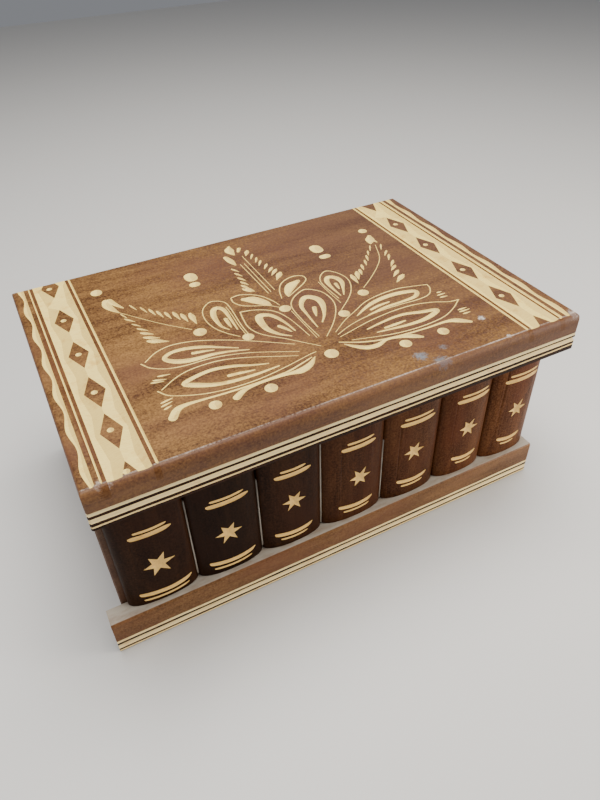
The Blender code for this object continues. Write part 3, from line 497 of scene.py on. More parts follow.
RIGHT_SMALL_PETAL = (
    ((1.8, 4.2, 0.8), (4.2, 11.7, 1.2), (8.3, 17.5, 1.2), (15, 20.4, 1.3), (20, 18.8, 1.3),
     (20.4, 15, 1.2), (17.5, 11.7, 1.2), (11.7, 7.9, 1.1), (5.8, 4.2, 0.8)),
    ((15.8, 15, 2.5), (10.8, 12.5, 5.2), (6.7, 7.5, 3.2), (5.4, 4.2, 0.6)),
)
RIGHT_MIDDLE_PETAL = (
    ((2.1, -32.5, 0.7), (1.7, -17.5, 0.9), (2.5, -5, 1.1), (6.7, 1.7, 1.2), (13.3, 5.8, 1.3),
     (16.7, 5.4, 1.3), (20.8, 0.8, 1.2), (22.1, -5, 1.2), (21.3, -12.5, 1.1), (17.5, -20, 1),
     (11.7, -27.5, 0.9), (5, -34.2, 0.7)),
    ((0.8, -8, 0.7), (0.8, -33, 0.6)),
    ((5, -25.8, 0.6), (5.8, -13.3, 1.3), (6.7, -6.7, 2), (10, -1.7, 2.8), (13.3, -0.8, 3.2),
     (16.3, -5, 3.4), (15.8, -10.8, 2.8), (12.5, -18.3, 1.4), (8.8, -23.3, 0.7)),
    ((11.3, -10.8, 2.2), (10, -14.2, 1.8), (8.8, -17.5, 0.6)),
)
RIGHT_ROUND_PETAL = (
    ((25.4, -9.2, 1), (25, 3.3, 1), (25.8, 10, 1), (29.2, 15, 1.1), (33.3, 16.7, 1.2),
     (36.7, 12.5, 1.1), (38.3, 6.7, 1), (37.5, 0.8, 1), (34.2, -5.8, 1), (29.2, -11.7, 0.9),
     (20.8, -19.2, 0.7)),
    ((24.3, 9, 0.7), (24, -2, 0.8), (24.2, -13.3, 0.6)),
    ((27.5, -7.5, 0.6), (27.4, 0.8, 1.5), (28.2, 7.5, 2.5), (30.8, 10.8, 2.6), (33.8, 8.3, 2.8),
     (34.2, 3.3, 2.4), (31.7, -2.5, 1.3), (29.2, -7.5, 0.6)),
    ((30.8, 3.3, 1.8), (30.4, 0.8, 1.5), (30, -1.7, 0.6)),
)
LEFT_UPPER_LEAF = (
    ((-70.8, -13.3, 1.1), (-65, -8.8, 1.1), (-58.3, -6.8, 1.1), (-50.8, -7.7, 1.1),
     (-43.3, -10.4, 1.1), (-33.3, -15.8, 1), (-23.3, -22.5, 0.9), (-10, -32.5, 0.7)),
    ((-72.7, -13.8, 1.4), (-70, -18.3, 1.2), (-64.2, -22.1, 1.1), (-56.7, -23.8, 1.1),
     (-46.7, -24.2, 1.1), (-38.3, -25.8, 1), (-27.5, -29.6, 0.9), (-10.8, -38.3, 0.7)),
    ((-32.5, -22.9, 0.7), (-38.3, -19.2, 1.2), (-45, -15, 2), (-52.5, -12.3, 2.2),
     (-59.2, -12.1, 2), (-62.9, -15, 2.2), (-59.2, -19.2, 3), (-52.5, -21.5, 2.8),
     (-43.3, -22.1, 1.8), (-35.8, -23.8, 1.2), (-28.8, -26.5, 0.6)),
    ((-50.8, -17.1, 1.8), (-46.7, -17.9, 1.6), (-42.1, -19.3, 0.6)),
)
LEFT_LOWER_LEAF = (
    ((-70.4, -34.6, 1.1), (-63.3, -30, 1.1), (-56.7, -27.7, 1.1), (-48.3, -27.1, 1.1),
     (-40, -28.3, 1.1), (-30, -32.1, 1), (-19.2, -37.5, 0.9), (-12.5, -40.8, 0.7)),
    ((-72.1, -34.8, 1.4), (-69.2, -39.2, 1.2), (-62.5, -42.9, 1.1), (-54.2, -45.8, 1.1),
     (-43.3, -47.3, 1.1), (-31.7, -47.1, 1), (-19.2, -45, 0.9), (-8.3, -42.5, 0.8),
     (-4.6, -42, 0.7)),
    ((-25.8, -39.6, 0.6), (-32.5, -37.1, 1.2), (-40, -33.8, 1.9), (-48.3, -32.1, 2),
     (-56.7, -33.3, 2.2), (-61.3, -35.4, 2.4), (-57.5, -38.3, 3), (-50.8, -41.7, 2.4),
     (-43.3, -43.3, 2), (-33.3, -43.8, 1.6), (-22.5, -43.2, 0.7)),
    ((-43.3, -39.2, 1.8), (-38.3, -39.8, 1.6), (-32.5, -40.8, 0.6)),
)
RIGHT_UPPER_LEAF = (
    ((68.8, -19.6, 1.2), (63.3, -17.9, 1.1), (55, -15.8, 1.1), (48.3, -15.7, 1.1),
     (40, -16.7, 1.1), (33.3, -18.8, 1), (26.7, -22.5, 0.9), (18.3, -27.1, 0.8),
     (10, -33.3, 0.7)),
    ((68.8, -19.6, 1.2), (67.9, -23.3, 1.2), (64.2, -27.5, 1.1), (57.5, -28.8, 1.1),
     (46.7, -28.3, 1.1), (36.7, -28.3, 1), (26.7, -29.6, 0.9), (17.5, -32.1, 0.8),
     (10, -35.4, 0.7)),
    ((25, -26.7, 0.6), (31.7, -22.9, 1.6), (38.3, -20.4, 2.4), (46.7, -19.2, 2.6),
     (55, -20, 2.8), (60.4, -22.1, 2.4), (57.5, -25.8, 2.2), (49.2, -26.7, 1.6),
     (40, -26.9, 1.5), (30, -28.8, 0.8)),
    ((33.3, -25.4, 1.3), (38.3, -24.2, 1.5), (44.2, -23.8, 0.8)),
)
RIGHT_LOWER_LEAF = (
    ((73.3, -38.3, 1.2), (68.3, -37.5, 1.1), (61.7, -34.2, 1.1), (53.3, -31.8, 1.1),
     (45, -31.3, 1.1), (36.7, -31.8, 1), (26.7, -33.3, 0.9), (18.3, -35.4, 0.8),
     (10, -37.5, 0.7)),
    ((72.5, -38.8, 1.2), (67.5, -42.5, 1.1), (60, -46.3, 1.1), (51.7, -47.9, 1.1),
     (41.7, -48.2, 1.1), (31.7, -47.1, 1), (21.7, -44.6, 0.9), (13.3, -42.1, 0.7)),
    ((23.3, -38.3, 0.7), (30, -37.1, 1.2), (38.3, -36, 1.5), (45, -36.3, 1.8),
     (51.7, -38.3, 2.2), (59.2, -40.4, 2.4), (55, -42.9, 2.6), (48.3, -44.3, 2.2),
     (40, -44.2, 1.6), (31.7, -43.2, 1.2), (25.8, -42.5, 0.6)),
    ((30.8, -41.3, 1.4), (36.7, -41.1, 1.6), (41.7, -40.8, 0.8)),
)
ROOT_SWEEPS = (
    ((-6.7, -45, 0.5), (-11, -48.8, 2.8), (-16, -50.6, 3.4), (-22, -50, 1.6), (-30, -49.8, 1),
     (-38, -50.2, 1.3), (-42.5, -51.3, 2.4), (-46, -53.6, 3.2)),
    ((-8, -44.6, 0.5), (-14, -46.5, 0.8), (-22, -48.6, 1), (-35, -49.2, 1), (-48, -49, 1),
     (-58, -48.3, 1.2), (-65, -48, 2), (-69, -49.2, 3.2), (-72, -53, 3.6)),
    ((8.8, -43.3, 0.5), (11.7, -46.7, 2), (15.8, -50, 2.8), (20.8, -50.8, 2.6),
     (26.7, -49.2, 1.3), (33.3, -50.8, 1.6), (37.5, -52.5, 3), (40.8, -55, 1.5)),
    ((7.5, -40.8, 0.6), (15, -45, 0.8), (23.3, -47.9, 1), (33.3, -49.6, 1), (46.7, -50.4, 1),
     (56.7, -50.4, 1.6), (61.7, -52.1, 3.2), (66.3, -55.8, 1.8)),
)
TIP_DASHES = ((-69.2, -25.4, -64.2, -26.3), (-71.7, -27.1, -66.7, -28.8),
              (-72.9, -28.3, -67.9, -29.6), (-73.3, -42.5, -68.3, -41.5),
              (-73.8, -44.6, -69.2, -43.5), (-73.3, -46.7, -70, -45.7),
              (68.3, -28.3, 70.8, -28.3), (67.1, -30.4, 71.3, -30.4),
              (67.1, -32.5, 70.8, -32.9), (67.5, -45.4, 72.1, -45.4),
              (67.1, -47.1, 72.5, -47.1), (67.5, -49.2, 71.3, -49.2))


def barb(x, y, end_x, end_y, width):
    """A short dash, fullest a third of the way along, that runs out to a point."""
    third = (x + (end_x - x) / 3, y + (end_y - y) / 3, width)
    return gouge(((x, y, 0.5 * width), third, (end_x, end_y, 0.35)))


def dot(x, y, across, along):
    """A round or oval dimple, as a short wide stroke along its longer side."""
    width = 2 * min(across, along)
    if abs(across - along) < 0.15:
        return gouge(((x - 0.05, y, width), (x + 0.05, y, width)), 0.35, 0.8)
    reach = max(across, along) - width / 2
    turned = (reach, 0) if across > along else (0, reach)
    return gouge(((x - turned[0], y - turned[1], width), (x + turned[0], y + turned[1], width)),
                 0.35, 0.8)


# Strokes narrower than broad are cut with the fine gouge, at this share of their drawn width.
BROAD = 1.45
HAIRLINE = 0.5
DASH_WIDTH = 1.1
posy = [dot(*place) for place in DOTS]
for drawn in (LEFT_FEATHER, CENTRE_FEATHER, RIGHT_FEATHER, LEFT_ROUND_PETAL, LEFT_SMALL_PETAL,
              LEFT_MIDDLE_PETAL, RIGHT_SMALL_PETAL, RIGHT_MIDDLE_PETAL, RIGHT_ROUND_PETAL,
              LEFT_UPPER_LEAF, LEFT_LOWER_LEAF, RIGHT_UPPER_LEAF, RIGHT_LOWER_LEAF, ROOT_SWEEPS):
    for stroke in drawn:
        broad = max(width for _, _, width in stroke) > BROAD
        posy.append(gouge([(x, y, width if broad else HAIRLINE * width) for x, y, width in stroke]))
posy += [barb(*dash) for dash in (*LEFT_BARBS, *CENTRE_BARBS, *RIGHT_BARBS)]
posy += [barb(*dash, DASH_WIDTH) for dash in TIP_DASHES]

# The bands across both ends: a row of diamonds left standing in a broad chip-carved strip, a fine
# groove on each side of it and a wavy strip along the board's edge.
DIAMOND_HALF_WIDTH = 4.4
DIAMOND_HALF_LENGTH = 11
WAIST_HALF_WIDTH = 1.2
FURTHEST_TIP = 9
WAVE_LENGTH = 23.5


def lengthwise(low_x, high_x, slope=0.5, most=0.4, wave=0.0):
    """A straight strip cut from the front edge to the back, its outer side wavy by an amount."""
    run = np.linspace(-HALF_DEPTH - 1, HALF_DEPTH + 1, 90 if wave else 2)
    ripple = wave * np.sin(2 * math.pi * run / WAVE_LENGTH)
    outer, inner = (low_x, high_x) if abs(low_x) > abs(high_x) else (high_x, low_x)
    outer_side = np.column_stack((outer + np.sign(outer) * ripple, run))
    inner_side = np.column_stack((np.full(len(run), inner), run))
    middle = (outer_side + inner_side) / 2
    return chip(np.vstack((outer_side, inner_side[::-1])), (), (middle,), slope, most)


def diamond_band(low_x, high_x, middle, places):
    """The broad strip with its diamonds; valleys run half way between diamond and strip edge.

    A diamond cut off by the board's edge loses the tip that lies furthest outside.
    """
    rings = []
    for y in places:
        rings.append(((middle - DIAMOND_HALF_WIDTH, y), (middle, y - DIAMOND_HALF_LENGTH),
                      (middle + DIAMOND_HALF_WIDTH, y), (middle, y + DIAMOND_HALF_LENGTH)))
    end = HALF_DEPTH + 1
    border = ((low_x, -end), (high_x, -end), (high_x, end), (low_x, end))
    inside = [[point for point in ring if abs(point[1]) < end + FURTHEST_TIP] for ring in rings]
    marks = sorted((*places, *[(a + b) / 2 for a, b in zip(places, places[1:])]))
    valleys = []
    for edge, side in ((low_x, -1), (high_x, 1)):
        line = []
        for count, y in enumerate(marks):
            near = middle + side * (WAIST_HALF_WIDTH if count % 2 else DIAMOND_HALF_WIDTH)
            line.append(((edge + near) / 2, y))
        valleys.append(line)
    return chip(border, inside, valleys, 0.36, 1.0)


LEFT_DIAMONDS = (-77.5, -48.5, -22.5, 6.5, 36.7, 71)
RIGHT_DIAMONDS = (-76.5, -46, -17, 14, 43, 75.5)
DIMPLES = ((-94.7, 37), (-94.5, 6.5), (-94.7, -22.8), (-94.7, -48), (-95, 70), (-95.3, -71.8),
           (93, 44), (92.8, 15), (92.7, -16.5), (92.7, -45.5))
DIMPLE_REACH = 1.3
# Beside the fine grooves stand strips of painted shade, a darker copy of the lid's stain,
# each from a low to a high x.
PAINTED_SHADE_STRIPS = ((-105.4, -102.5), (-86.5, -83.2), (82, 85.5), (101.2, 104.6))
bands = [
    lengthwise(-109, -106.8, 0.5, 0.4, 0.8),
    lengthwise(-104.7, -104),
    diamond_band(-102.5, -86.5, -94.4, LEFT_DIAMONDS),
    lengthwise(-85, -84),
    lengthwise(83, 84.2),
    diamond_band(85.5, 101.2, 93.4, RIGHT_DIAMONDS),
    lengthwise(102.3, 103.9),
    lengthwise(106, 108.3, 0.5, 0.4, 0.6),
]
bands += [dot(x, y, DIMPLE_REACH, DIMPLE_REACH) for x, y in DIMPLES]

# The board's edges: the cove along the front, the small step behind it that handling has worn
# pale, and the quarter rounds of the ends and back. The carving runs out at the front step, and
# two heights or places that differ by less than tiny are the same.
CORNER_ROUND = 1.2
FRONT_COVE = 2.7
FRONT_COVE_DROP = 5.0
FRONT_STEP = 0.3
STEP_WIDTH = 0.45
END_ROUND = 1.4
RUN_OUT = 0.5
TINY = 0.001


def board_border():
    """The board's outline, its four corners a little rounded."""
    core = np.array((HALF_LENGTH, HALF_DEPTH)) - CORNER_ROUND
    ring = []
    for start, corner in zip((180, 270, 0, 90), ((-1, -1), (1, -1), (1, 1), (-1, 1))):
        angle = np.radians(start + np.linspace(0, 90, 6))[:, None]
        ring.append(core * corner + CORNER_ROUND * np.hstack((np.cos(angle), np.sin(angle))))
    return np.vstack(ring)


def board_height(place):
    """The uncut board's height: a flat top, rounded over at the ends and back.

    The front is stepped down a little and then falls as a quarter of an ellipse.
    """
    def fall(distance, reach, drop):
        share = np.clip((reach - distance) / reach, 0, 1)
        return drop * (1 - np.sqrt(1 - share ** 2))

    front = HALF_DEPTH + place[:, 1]
    drop = np.maximum(fall(HALF_LENGTH - np.abs(place[:, 0]), END_ROUND, END_ROUND),
                      fall(HALF_DEPTH - place[:, 1], END_ROUND, END_ROUND))
    step = FRONT_STEP * np.clip((FRONT_COVE + STEP_WIDTH - front) / STEP_WIDTH, 0, 1)
    return panel_high[2] - np.maximum(drop, step + fall(front, FRONT_COVE, FRONT_COVE_DROP))


def carved_height(place):
    """The height the gouges reach, which run out just past the worn front arris."""
    reached = np.clip((place[:, 1] + HALF_DEPTH - FRONT_COVE + RUN_OUT) / RUN_OUT, 0, 1)
    return panel_high[2] - cut_depth(cuts, place) * reached


# Rows of corners run along the cove and the quarter rounds, closer where they curve more.
COVE_SHARES = (0.01, 0.04, 0.09, 0.16, 0.24, 0.33, 0.42, *np.linspace(0.5, 1, 14))
rows = []
for share in COVE_SHARES:
    y = FRONT_COVE * share - HALF_DEPTH
    rows.append(np.array(((-HALF_LENGTH, y), (HALF_LENGTH, y))))
rows.append(rows[-1] + (0, STEP_WIDTH))
for share in 1 - np.cos(np.radians(np.linspace(0, 90, 6)))[1:]:
    x = HALF_LENGTH - END_ROUND * share
    y = HALF_DEPTH - END_ROUND * share
    rows.append(np.array(((-HALF_LENGTH, y), (HALF_LENGTH, y))))
    rows += [np.array(((side * x, -HALF_DEPTH), (side * x, HALF_DEPTH))) for side in (-1, 1)]
border = board_border()
cuts = posy + bands
flat, faces = carved_sheet(border, cuts, rows)
verts = np.column_stack((flat, np.minimum(board_height(flat), carved_height(flat))))

# The kinds of face, in the order of the board's finishes, chosen at the faces' centres.
UNCUT, CUT, UNDERSIDE, SHADE_STRIP, WORN, SHADED_FACET = range(6)
SHADED_FACET_SLOPE = -0.12
centres = flat[faces].mean(1)
kinds = np.where(carved_height(centres) < board_height(centres) - TINY, CUT, UNCUT)
in_strip = np.zeros(len(faces), bool)
for low_x, high_x in PAINTED_SHADE_STRIPS:
    in_strip |= (centres[:, 0] > low_x) & (centres[:, 0] < high_x)
# Uncut faces in those strips take the painted shade.
kinds[in_strip & (kinds == UNCUT)] = SHADE_STRIP
corners = verts[faces]
facing = np.cross(corners[:, 1] - corners[:, 0], corners[:, 2] - corners[:, 0])
facing /= np.linalg.norm(facing, axis=1)[:, None]
# Painted shade: carved facets tilted towards -x take a darker copy of the carving, as if turned
# from the light.
kinds[(kinds == CUT) & (facing[:, 0] * np.sign(facing[:, 2]) < SHADED_FACET_SLOPE)] = SHADED_FACET
from_front = centres[:, 1] + HALF_DEPTH
on_step = (from_front > FRONT_COVE) & (from_front < FRONT_COVE + STEP_WIDTH)
kinds[on_step & np.isin(kinds, (UNCUT, SHADE_STRIP))] = WORN

# Down the board's sides to the joint with the rims.
side = np.roll(border, -1, axis=0) - border
outward = np.column_stack((side[:, 1], -side[:, 0])) / np.linalg.norm(side, axis=1)[:, None]
from_border = np.abs(((flat[:, None] - border) * outward).sum(2)).min(1)
on_border = np.nonzero(from_border < TINY)[0]
on_border = on_border[np.argsort(np.arctan2(flat[on_border, 1], flat[on_border, 0]))]
ring_xy = flat[on_border]
foot = len(verts) + np.arange(len(ring_xy))
ahead = np.roll(on_border, -1)
below = np.roll(foot, -1)
board_verts = np.vstack((verts, np.column_stack((ring_xy, np.full(len(ring_xy), panel_low[2])))))
board_faces = np.vstack((faces, np.column_stack((on_border, foot, ahead)),
                         np.column_stack((ahead, foot, below))))
board_kinds = kinds.tolist() + [UNCUT] * (2 * len(ring_xy))

# Its underside, with the hollow that the sliding book rises into.
book_low, book_high = box_of("book_spine_4")
POCKET_SLACK = 0.6
POCKET_BACK_Y = -60.25
POCKET_TOP = 100.1
left_x = book_low[0] - POCKET_SLACK
right_x = book_high[0] + POCKET_SLACK
front_y = book_low[1] - POCKET_SLACK
pocket = ((left_x, front_y), (right_x, front_y), (right_x, POCKET_BACK_Y), (left_x, POCKET_BACK_Y))
shape = bmesh.new()
lip = [shape.verts.new((*point, panel_low[2])) for point in ring_xy]
mouth = [shape.verts.new((*point, panel_low[2])) for point in pocket]
roof = [shape.verts.new((*point, POCKET_TOP)) for point in pocket]
loop = [shape.edges.new(pair) for pair in zip(lip, lip[1:] + lip[:1])]
loop += [shape.edges.new(pair) for pair in zip(mouth, mouth[1:] + mouth[:1])]
bmesh.ops.triangle_fill(shape, edges=loop, use_beauty=False, normal=(0, 0, -1))
for a, b, c, d in zip(mouth, mouth[1:] + mouth[:1], roof, roof[1:] + roof[:1]):
    shape.faces.new((a, c, d, b))
shape.faces.new(roof[::-1])
shape.verts.index_update()
pocket_verts = [vert.co[:] for vert in (*mouth, *roof)]
under_faces = [[len(verts) + vert.index for vert in face.verts] for face in shape.faces]
shape.free()

WALNUT_DARK = (0.045, 0.016, 0.005)
WALNUT_LIGHT = (0.28, 0.143, 0.045)
WALNUT_RED = (0.13, 0.054, 0.03)
SCUFF = (0.16, 0.19, 0.22)
BARE_CHIP = (0.75, 0.72, 0.66)
# Painted sheen: a broad greyer tone over the back right of the top.
PAINTED_SHEEN_TONE = (0.085, 0.042, 0.03)
DULL_EDGE = (0.12, 0.055, 0.036)
lid_finish = stained_wood("walnut_lid", ALONG_X, WALNUT_DARK, WALNUT_LIGHT, WALNUT_RED,
                          patches=((72.3, -56, 105, 2.0, 0.7, BARE_CHIP),
                                   (32, -66.5, 105, 3.4, 0.75, SCUFF),
                                   (44, -65.5, 105, 2.4, 0.45, SCUFF),
                                   (38, -73.5, 104.5, 4.2, 0.6, SCUFF),
                                   (73.5, -72.6, 104.8, 1.3, 0.9, BARE_CHIP),
                                   (-104, -73.5, 104.5, 3.0, 0.35, BARE_CHIP),
                                   (110.5, -73, 104, 3.2, 0.5, BARE_CHIP),
                                   (105, 45, 105, 170, 0.6, PAINTED_SHEEN_TONE)),
                          layers=((94, 104.7, 0.55, DULL_EDGE),))
pale_cut = cut_wood("pale_carving", ALONG_X, (0.6, 0.37, 0.09), (0.86, 0.69, 0.22))
# Painted shade: a darker copy of the carving for facets turned from the light.
painted_shade_cut = cut_wood("pale_carving_painted_shade", ALONG_X, (0.5, 0.3, 0.08), (0.72, 0.55, 0.17))
# Painted shade: the darker walnut of the strips beside the fine grooves.
lid_shadow = stained_wood("walnut_lid_shadow", ALONG_X, (0.07, 0.026, 0.008), (0.17, 0.075, 0.026),
                          (0.11, 0.04, 0.02))
worn_arris = stained_wood("worn_arris", ALONG_X, (0.07, 0.032, 0.016), (0.46, 0.36, 0.29),
                          (0.12, 0.055, 0.035))
# The rims are stained dark and darkened further to nearly black as painted shade.
SHADED_RIM_COLOURS = ((0.006, 0.002, 0.001), (0.045, 0.016, 0.007), (0.03, 0.009, 0.005))
RIM_ROUGHNESS = 0.4
RIM_GLOSS = 0.08
rim_walnut = stained_wood("walnut_rim", ALONG_X, *SHADED_RIM_COLOURS, RIM_ROUGHNESS, RIM_GLOSS)
show_piece("lid_carved_board", np.vstack((board_verts, pocket_verts)),
           board_faces.tolist() + under_faces, board_kinds + [UNDERSIDE] * len(under_faces),
           [lid_finish, pale_cut, rim_walnut, lid_shadow, worn_arris, painted_shade_cut],
           "lid", ["lid_top_panel"])


# The lid's rims: four stained strips, darkened to nearly black as painted shade, glued under the
# board, the front one deep enough to hide the hollow over the sliding book. Scratched beads run
# along the front and the ends; the lowest pale line is a painted highlight along their lower edge.

ALONG_Y = (0.0, 1.0, 0.0)
# How far a groove's tool stands out of the wood, and the angle past which an edge stays sharp.
PROUD = 0.8
SHARP_DEGREES = 28


def groove_tool(path, low, high, deep, waver, rise=0.0):
    """A bar that cuts a shallow trough: a section of (outward, height) carried along a path.

    The path holds (x, y, outward x, outward y). The trough's height wavers by a sum of sines and
    rises evenly from the path's left end to its right end.
    """
    path = np.asarray(path, float)
    width = high - low
    section = np.array(((PROUD, low), (0, low), (-0.75 * deep, low + 0.22 * width),
                        (-deep, low + 0.5 * width), (-0.75 * deep, high - 0.22 * width),
                        (0, high), (PROUD, high)))
    run = np.concatenate(((0,), np.cumsum(np.linalg.norm(np.diff(path[:, :2], axis=0), axis=1))))
    lift = waver * (np.sin(run / 11.3 + low) + 0.6 * np.sin(run / 4.1 + 2 * low))
    lift += rise * (path[:, 0] / np.abs(path[:, 0]).max() + 1) / 2
    grid = np.empty((len(path), len(section), 3))
    grid[..., 0] = path[:, None, 0] + section[:, 0] * path[:, None, 2]
    grid[..., 1] = path[:, None, 1] + section[:, 0] * path[:, None, 3]
    grid[..., 2] = section[:, 1] + lift[:, None]
    across = len(section)
    start = np.arange(len(path) - 1)[:, None] * across
    here = start + np.arange(across)
    ahead = start + (np.arange(across) + 1) % across
    faces = np.stack((here, ahead, ahead + across, here + across), 2).reshape(-1, 4).tolist()
    faces += [list(range(across))[::-1], [len(path) * across - across + i for i in range(across)]]
    return grid.reshape(-1, 3), faces


def grooved_copy(node, name, grooves, finishes, body, rounded=()):
    """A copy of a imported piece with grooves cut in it, whose faces take the second finish.

    Rounded holds (test, radius), and edges whose two ends both pass the test are rounded first.
    """
    shape = bmesh.new()
    shape.from_mesh(frame["nodes"][node].data)
    bmesh.ops.remove_doubles(shape, verts=shape.verts, dist=0.001 * MM)
    bmesh.ops.dissolve_limit(shape, angle_limit=math.radians(0.5), verts=shape.verts,
                             edges=shape.edges)
    for test, radius in rounded:
        edges = [edge for edge in shape.edges if all(test(vert.co / MM) for vert in edge.verts)]
        bmesh.ops.bevel(shape, geom=edges, offset=radius * MM, offset_type="OFFSET", segments=4,
                        profile=0.5, affect="EDGES", clamp_overlap=True)
    shape.verts.index_update()
    mesh = bpy.data.meshes.new(name)
    mesh.from_pydata([vert.co[:] for vert in shape.verts], [],
                     [[vert.index for vert in face.verts] for face in shape.faces])
    shape.free()
    piece = bpy.data.objects.new(name, mesh)
    bpy.context.scene.collection.objects.link(piece)
    tools = []
    for finish in finishes:
        mesh.materials.append(finish)
    for count, (places, faces) in enumerate(grooves):
        tool_mesh = bpy.data.meshes.new("%s_tool_%d" % (name, count))
        tool_mesh.from_pydata(places * MM, [], faces)
        shape = bmesh.new()
        shape.from_mesh(tool_mesh)
        bmesh.ops.recalc_face_normals(shape, faces=shape.faces)
        shape.to_mesh(tool_mesh)
        shape.free()
        for finish in finishes:
            tool_mesh.materials.append(finish)
        second = np.ones(len(tool_mesh.polygons), np.int32)
        tool_mesh.polygons.foreach_set("material_index", second)
        tool = bpy.data.objects.new(tool_mesh.name, tool_mesh)
        bpy.context.scene.collection.objects.link(tool)
        tools.append(tool)
        trim = piece.modifiers.new(tool.name, "BOOLEAN")
        trim.operation = "DIFFERENCE"
        trim.solver = "EXACT"
        trim.object = tool
    bpy.context.view_layer.update()
    graph = bpy.context.evaluated_depsgraph_get()
    finished = bpy.data.meshes.new_from_object(piece.evaluated_get(graph))
    piece.modifiers.clear()
    piece.data = finished
    for tool in tools:
        bpy.data.objects.remove(tool, do_unlink=True)
    finished.shade_smooth()
    finished.set_sharp_from_angle(angle=math.radians(SHARP_DEGREES))
    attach(piece, body)
    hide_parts(node)
    return piece


def u_path(half_x, front_y, back_y, step=4.0):
    """Round the left end, the front and the right end, with the outward direction at each."""
    side = np.linspace(back_y, front_y, int((back_y - front_y) / step))
    front = np.linspace(-half_x, half_x, int(2 * half_x / step))
    left = np.column_stack((np.full(len(side), -half_x), side, np.full(len(side), -1.0),
                            np.zeros(len(side))))
    middle = np.column_stack((front, np.full(len(front), front_y), np.zeros(len(front)),
                              np.full(len(front), -1.0)))
    middle[0, 2:] = (-1, -1)
    middle[-1, 2:] = (1, -1)
    right = left[::-1] * (-1, 1, -1, 1)
    return np.vstack((left[:-1], middle, right[1:]))


rim_walnut_ends = stained_wood("walnut_rim_ends", ALONG_Y, *SHADED_RIM_COLOURS, RIM_ROUGHNESS, RIM_GLOSS)
pale_bead = cut_wood("pale_bead", ALONG_X, (0.8, 0.55, 0.25), (0.97, 0.8, 0.42), 0.45)
# For each groove: its lower and upper edge, its depth, its waver and its rise to the right. The
# lowest groove's pale line is a painted highlight where the rims' lower edge catches light.
RIM_GROOVES = ((94.25, 96.5, 0.5, 0.05, 0.1), (90.5, 92.8, 0.8, 0.06, 0.7),
               (88.15, 88.95, 0.5, 0.06, 0.9), (85.5, 86.6, 0.25, 0.05, 0.0))
lid_path = u_path(HALF_LENGTH, -HALF_DEPTH, HALF_DEPTH - 9)
for node, finish in (("lid_front_rim", rim_walnut), ("lid_left_rim", rim_walnut_ends),
                     ("lid_right_rim", rim_walnut_ends)):
    grooves = [groove_tool(lid_path, *groove) for groove in RIM_GROOVES]
    grooved_copy(node, node.replace("lid_", "lid_beaded_"), grooves, [finish, pale_bead],
                 "lid")
frame["nodes"]["lid_back_rim"].data.materials.clear()
frame["nodes"]["lid_back_rim"].data.materials.append(rim_walnut)


# The foot moulding: one stained strip with a rounded upper edge, worn most at its right end, and
# three beads scratched along its face down to the pale wood. It slides sideways on a dovetail.

moulding_low, moulding_high = box_of("base_slider")
# For each groove: its lower and upper edge, its depth and its waver.
MOULDING_GROOVES = ((6.6, 8.1, 0.6, 0.08), (2.6, 5.3, 0.8, 0.08), (0.5, 1.4, 0.4, 0.05))
# Painted sheen: a pale grey band along the moulding's top stands in for the reflection of the light
# above it.
PAINTED_TOP_SHEEN = (0.47, 0.42, 0.34)
DARK_FOOT = (0.02, 0.009, 0.005)
moulding_walnut = stained_wood("walnut_moulding", ALONG_X, (0.09, 0.036, 0.012),
                               (0.28, 0.14, 0.055), (0.17, 0.065, 0.03), 0.36,
                               layers=((19.9, 30, 0.85, PAINTED_TOP_SHEEN), (-1, 8.3, 1.0, DARK_FOOT)))
END_WEAR = 2.2
UPPER_EDGE = 1.7


def at_worn_end(place):
    """Whether a place lies on the front corner or the upper edge of the moulding's right end."""
    near = 10 * TINY
    at_end = place.x > moulding_high[0] - near
    return at_end and (place.z > moulding_high[2] - UPPER_EDGE or place.y < moulding_low[1] + near)


run = np.linspace(moulding_low[0] - 1, moulding_high[0] + 1, 60)
foot_path = np.column_stack((run, np.full_like(run, moulding_low[1]), np.zeros_like(run),
                             np.full_like(run, -1.0)))
grooves = [groove_tool(foot_path, *groove) for groove in MOULDING_GROOVES]
grooved_copy("base_slider", "foot_moulding_beaded", grooves, [moulding_walnut, pale_bead],
             "foot_moulding", ((at_worn_end, END_WEAR),))


# The seven books: limewood strips planed to a flattened half round, stained nearly black-red and
# lacquered, with two double bands and a star cut in each. They are glued side by side; the second
# is the drawer's front and the fourth slides up on a dovetail.

ALONG_Z = (0.0, 0.0, 1.0)
SPINE_POWER = 2.3
SPINE_SIDE = 0.9
SPINE_STEPS = 720
SPINE_BACK_Y = box_of("book_spine_1")[1][1]
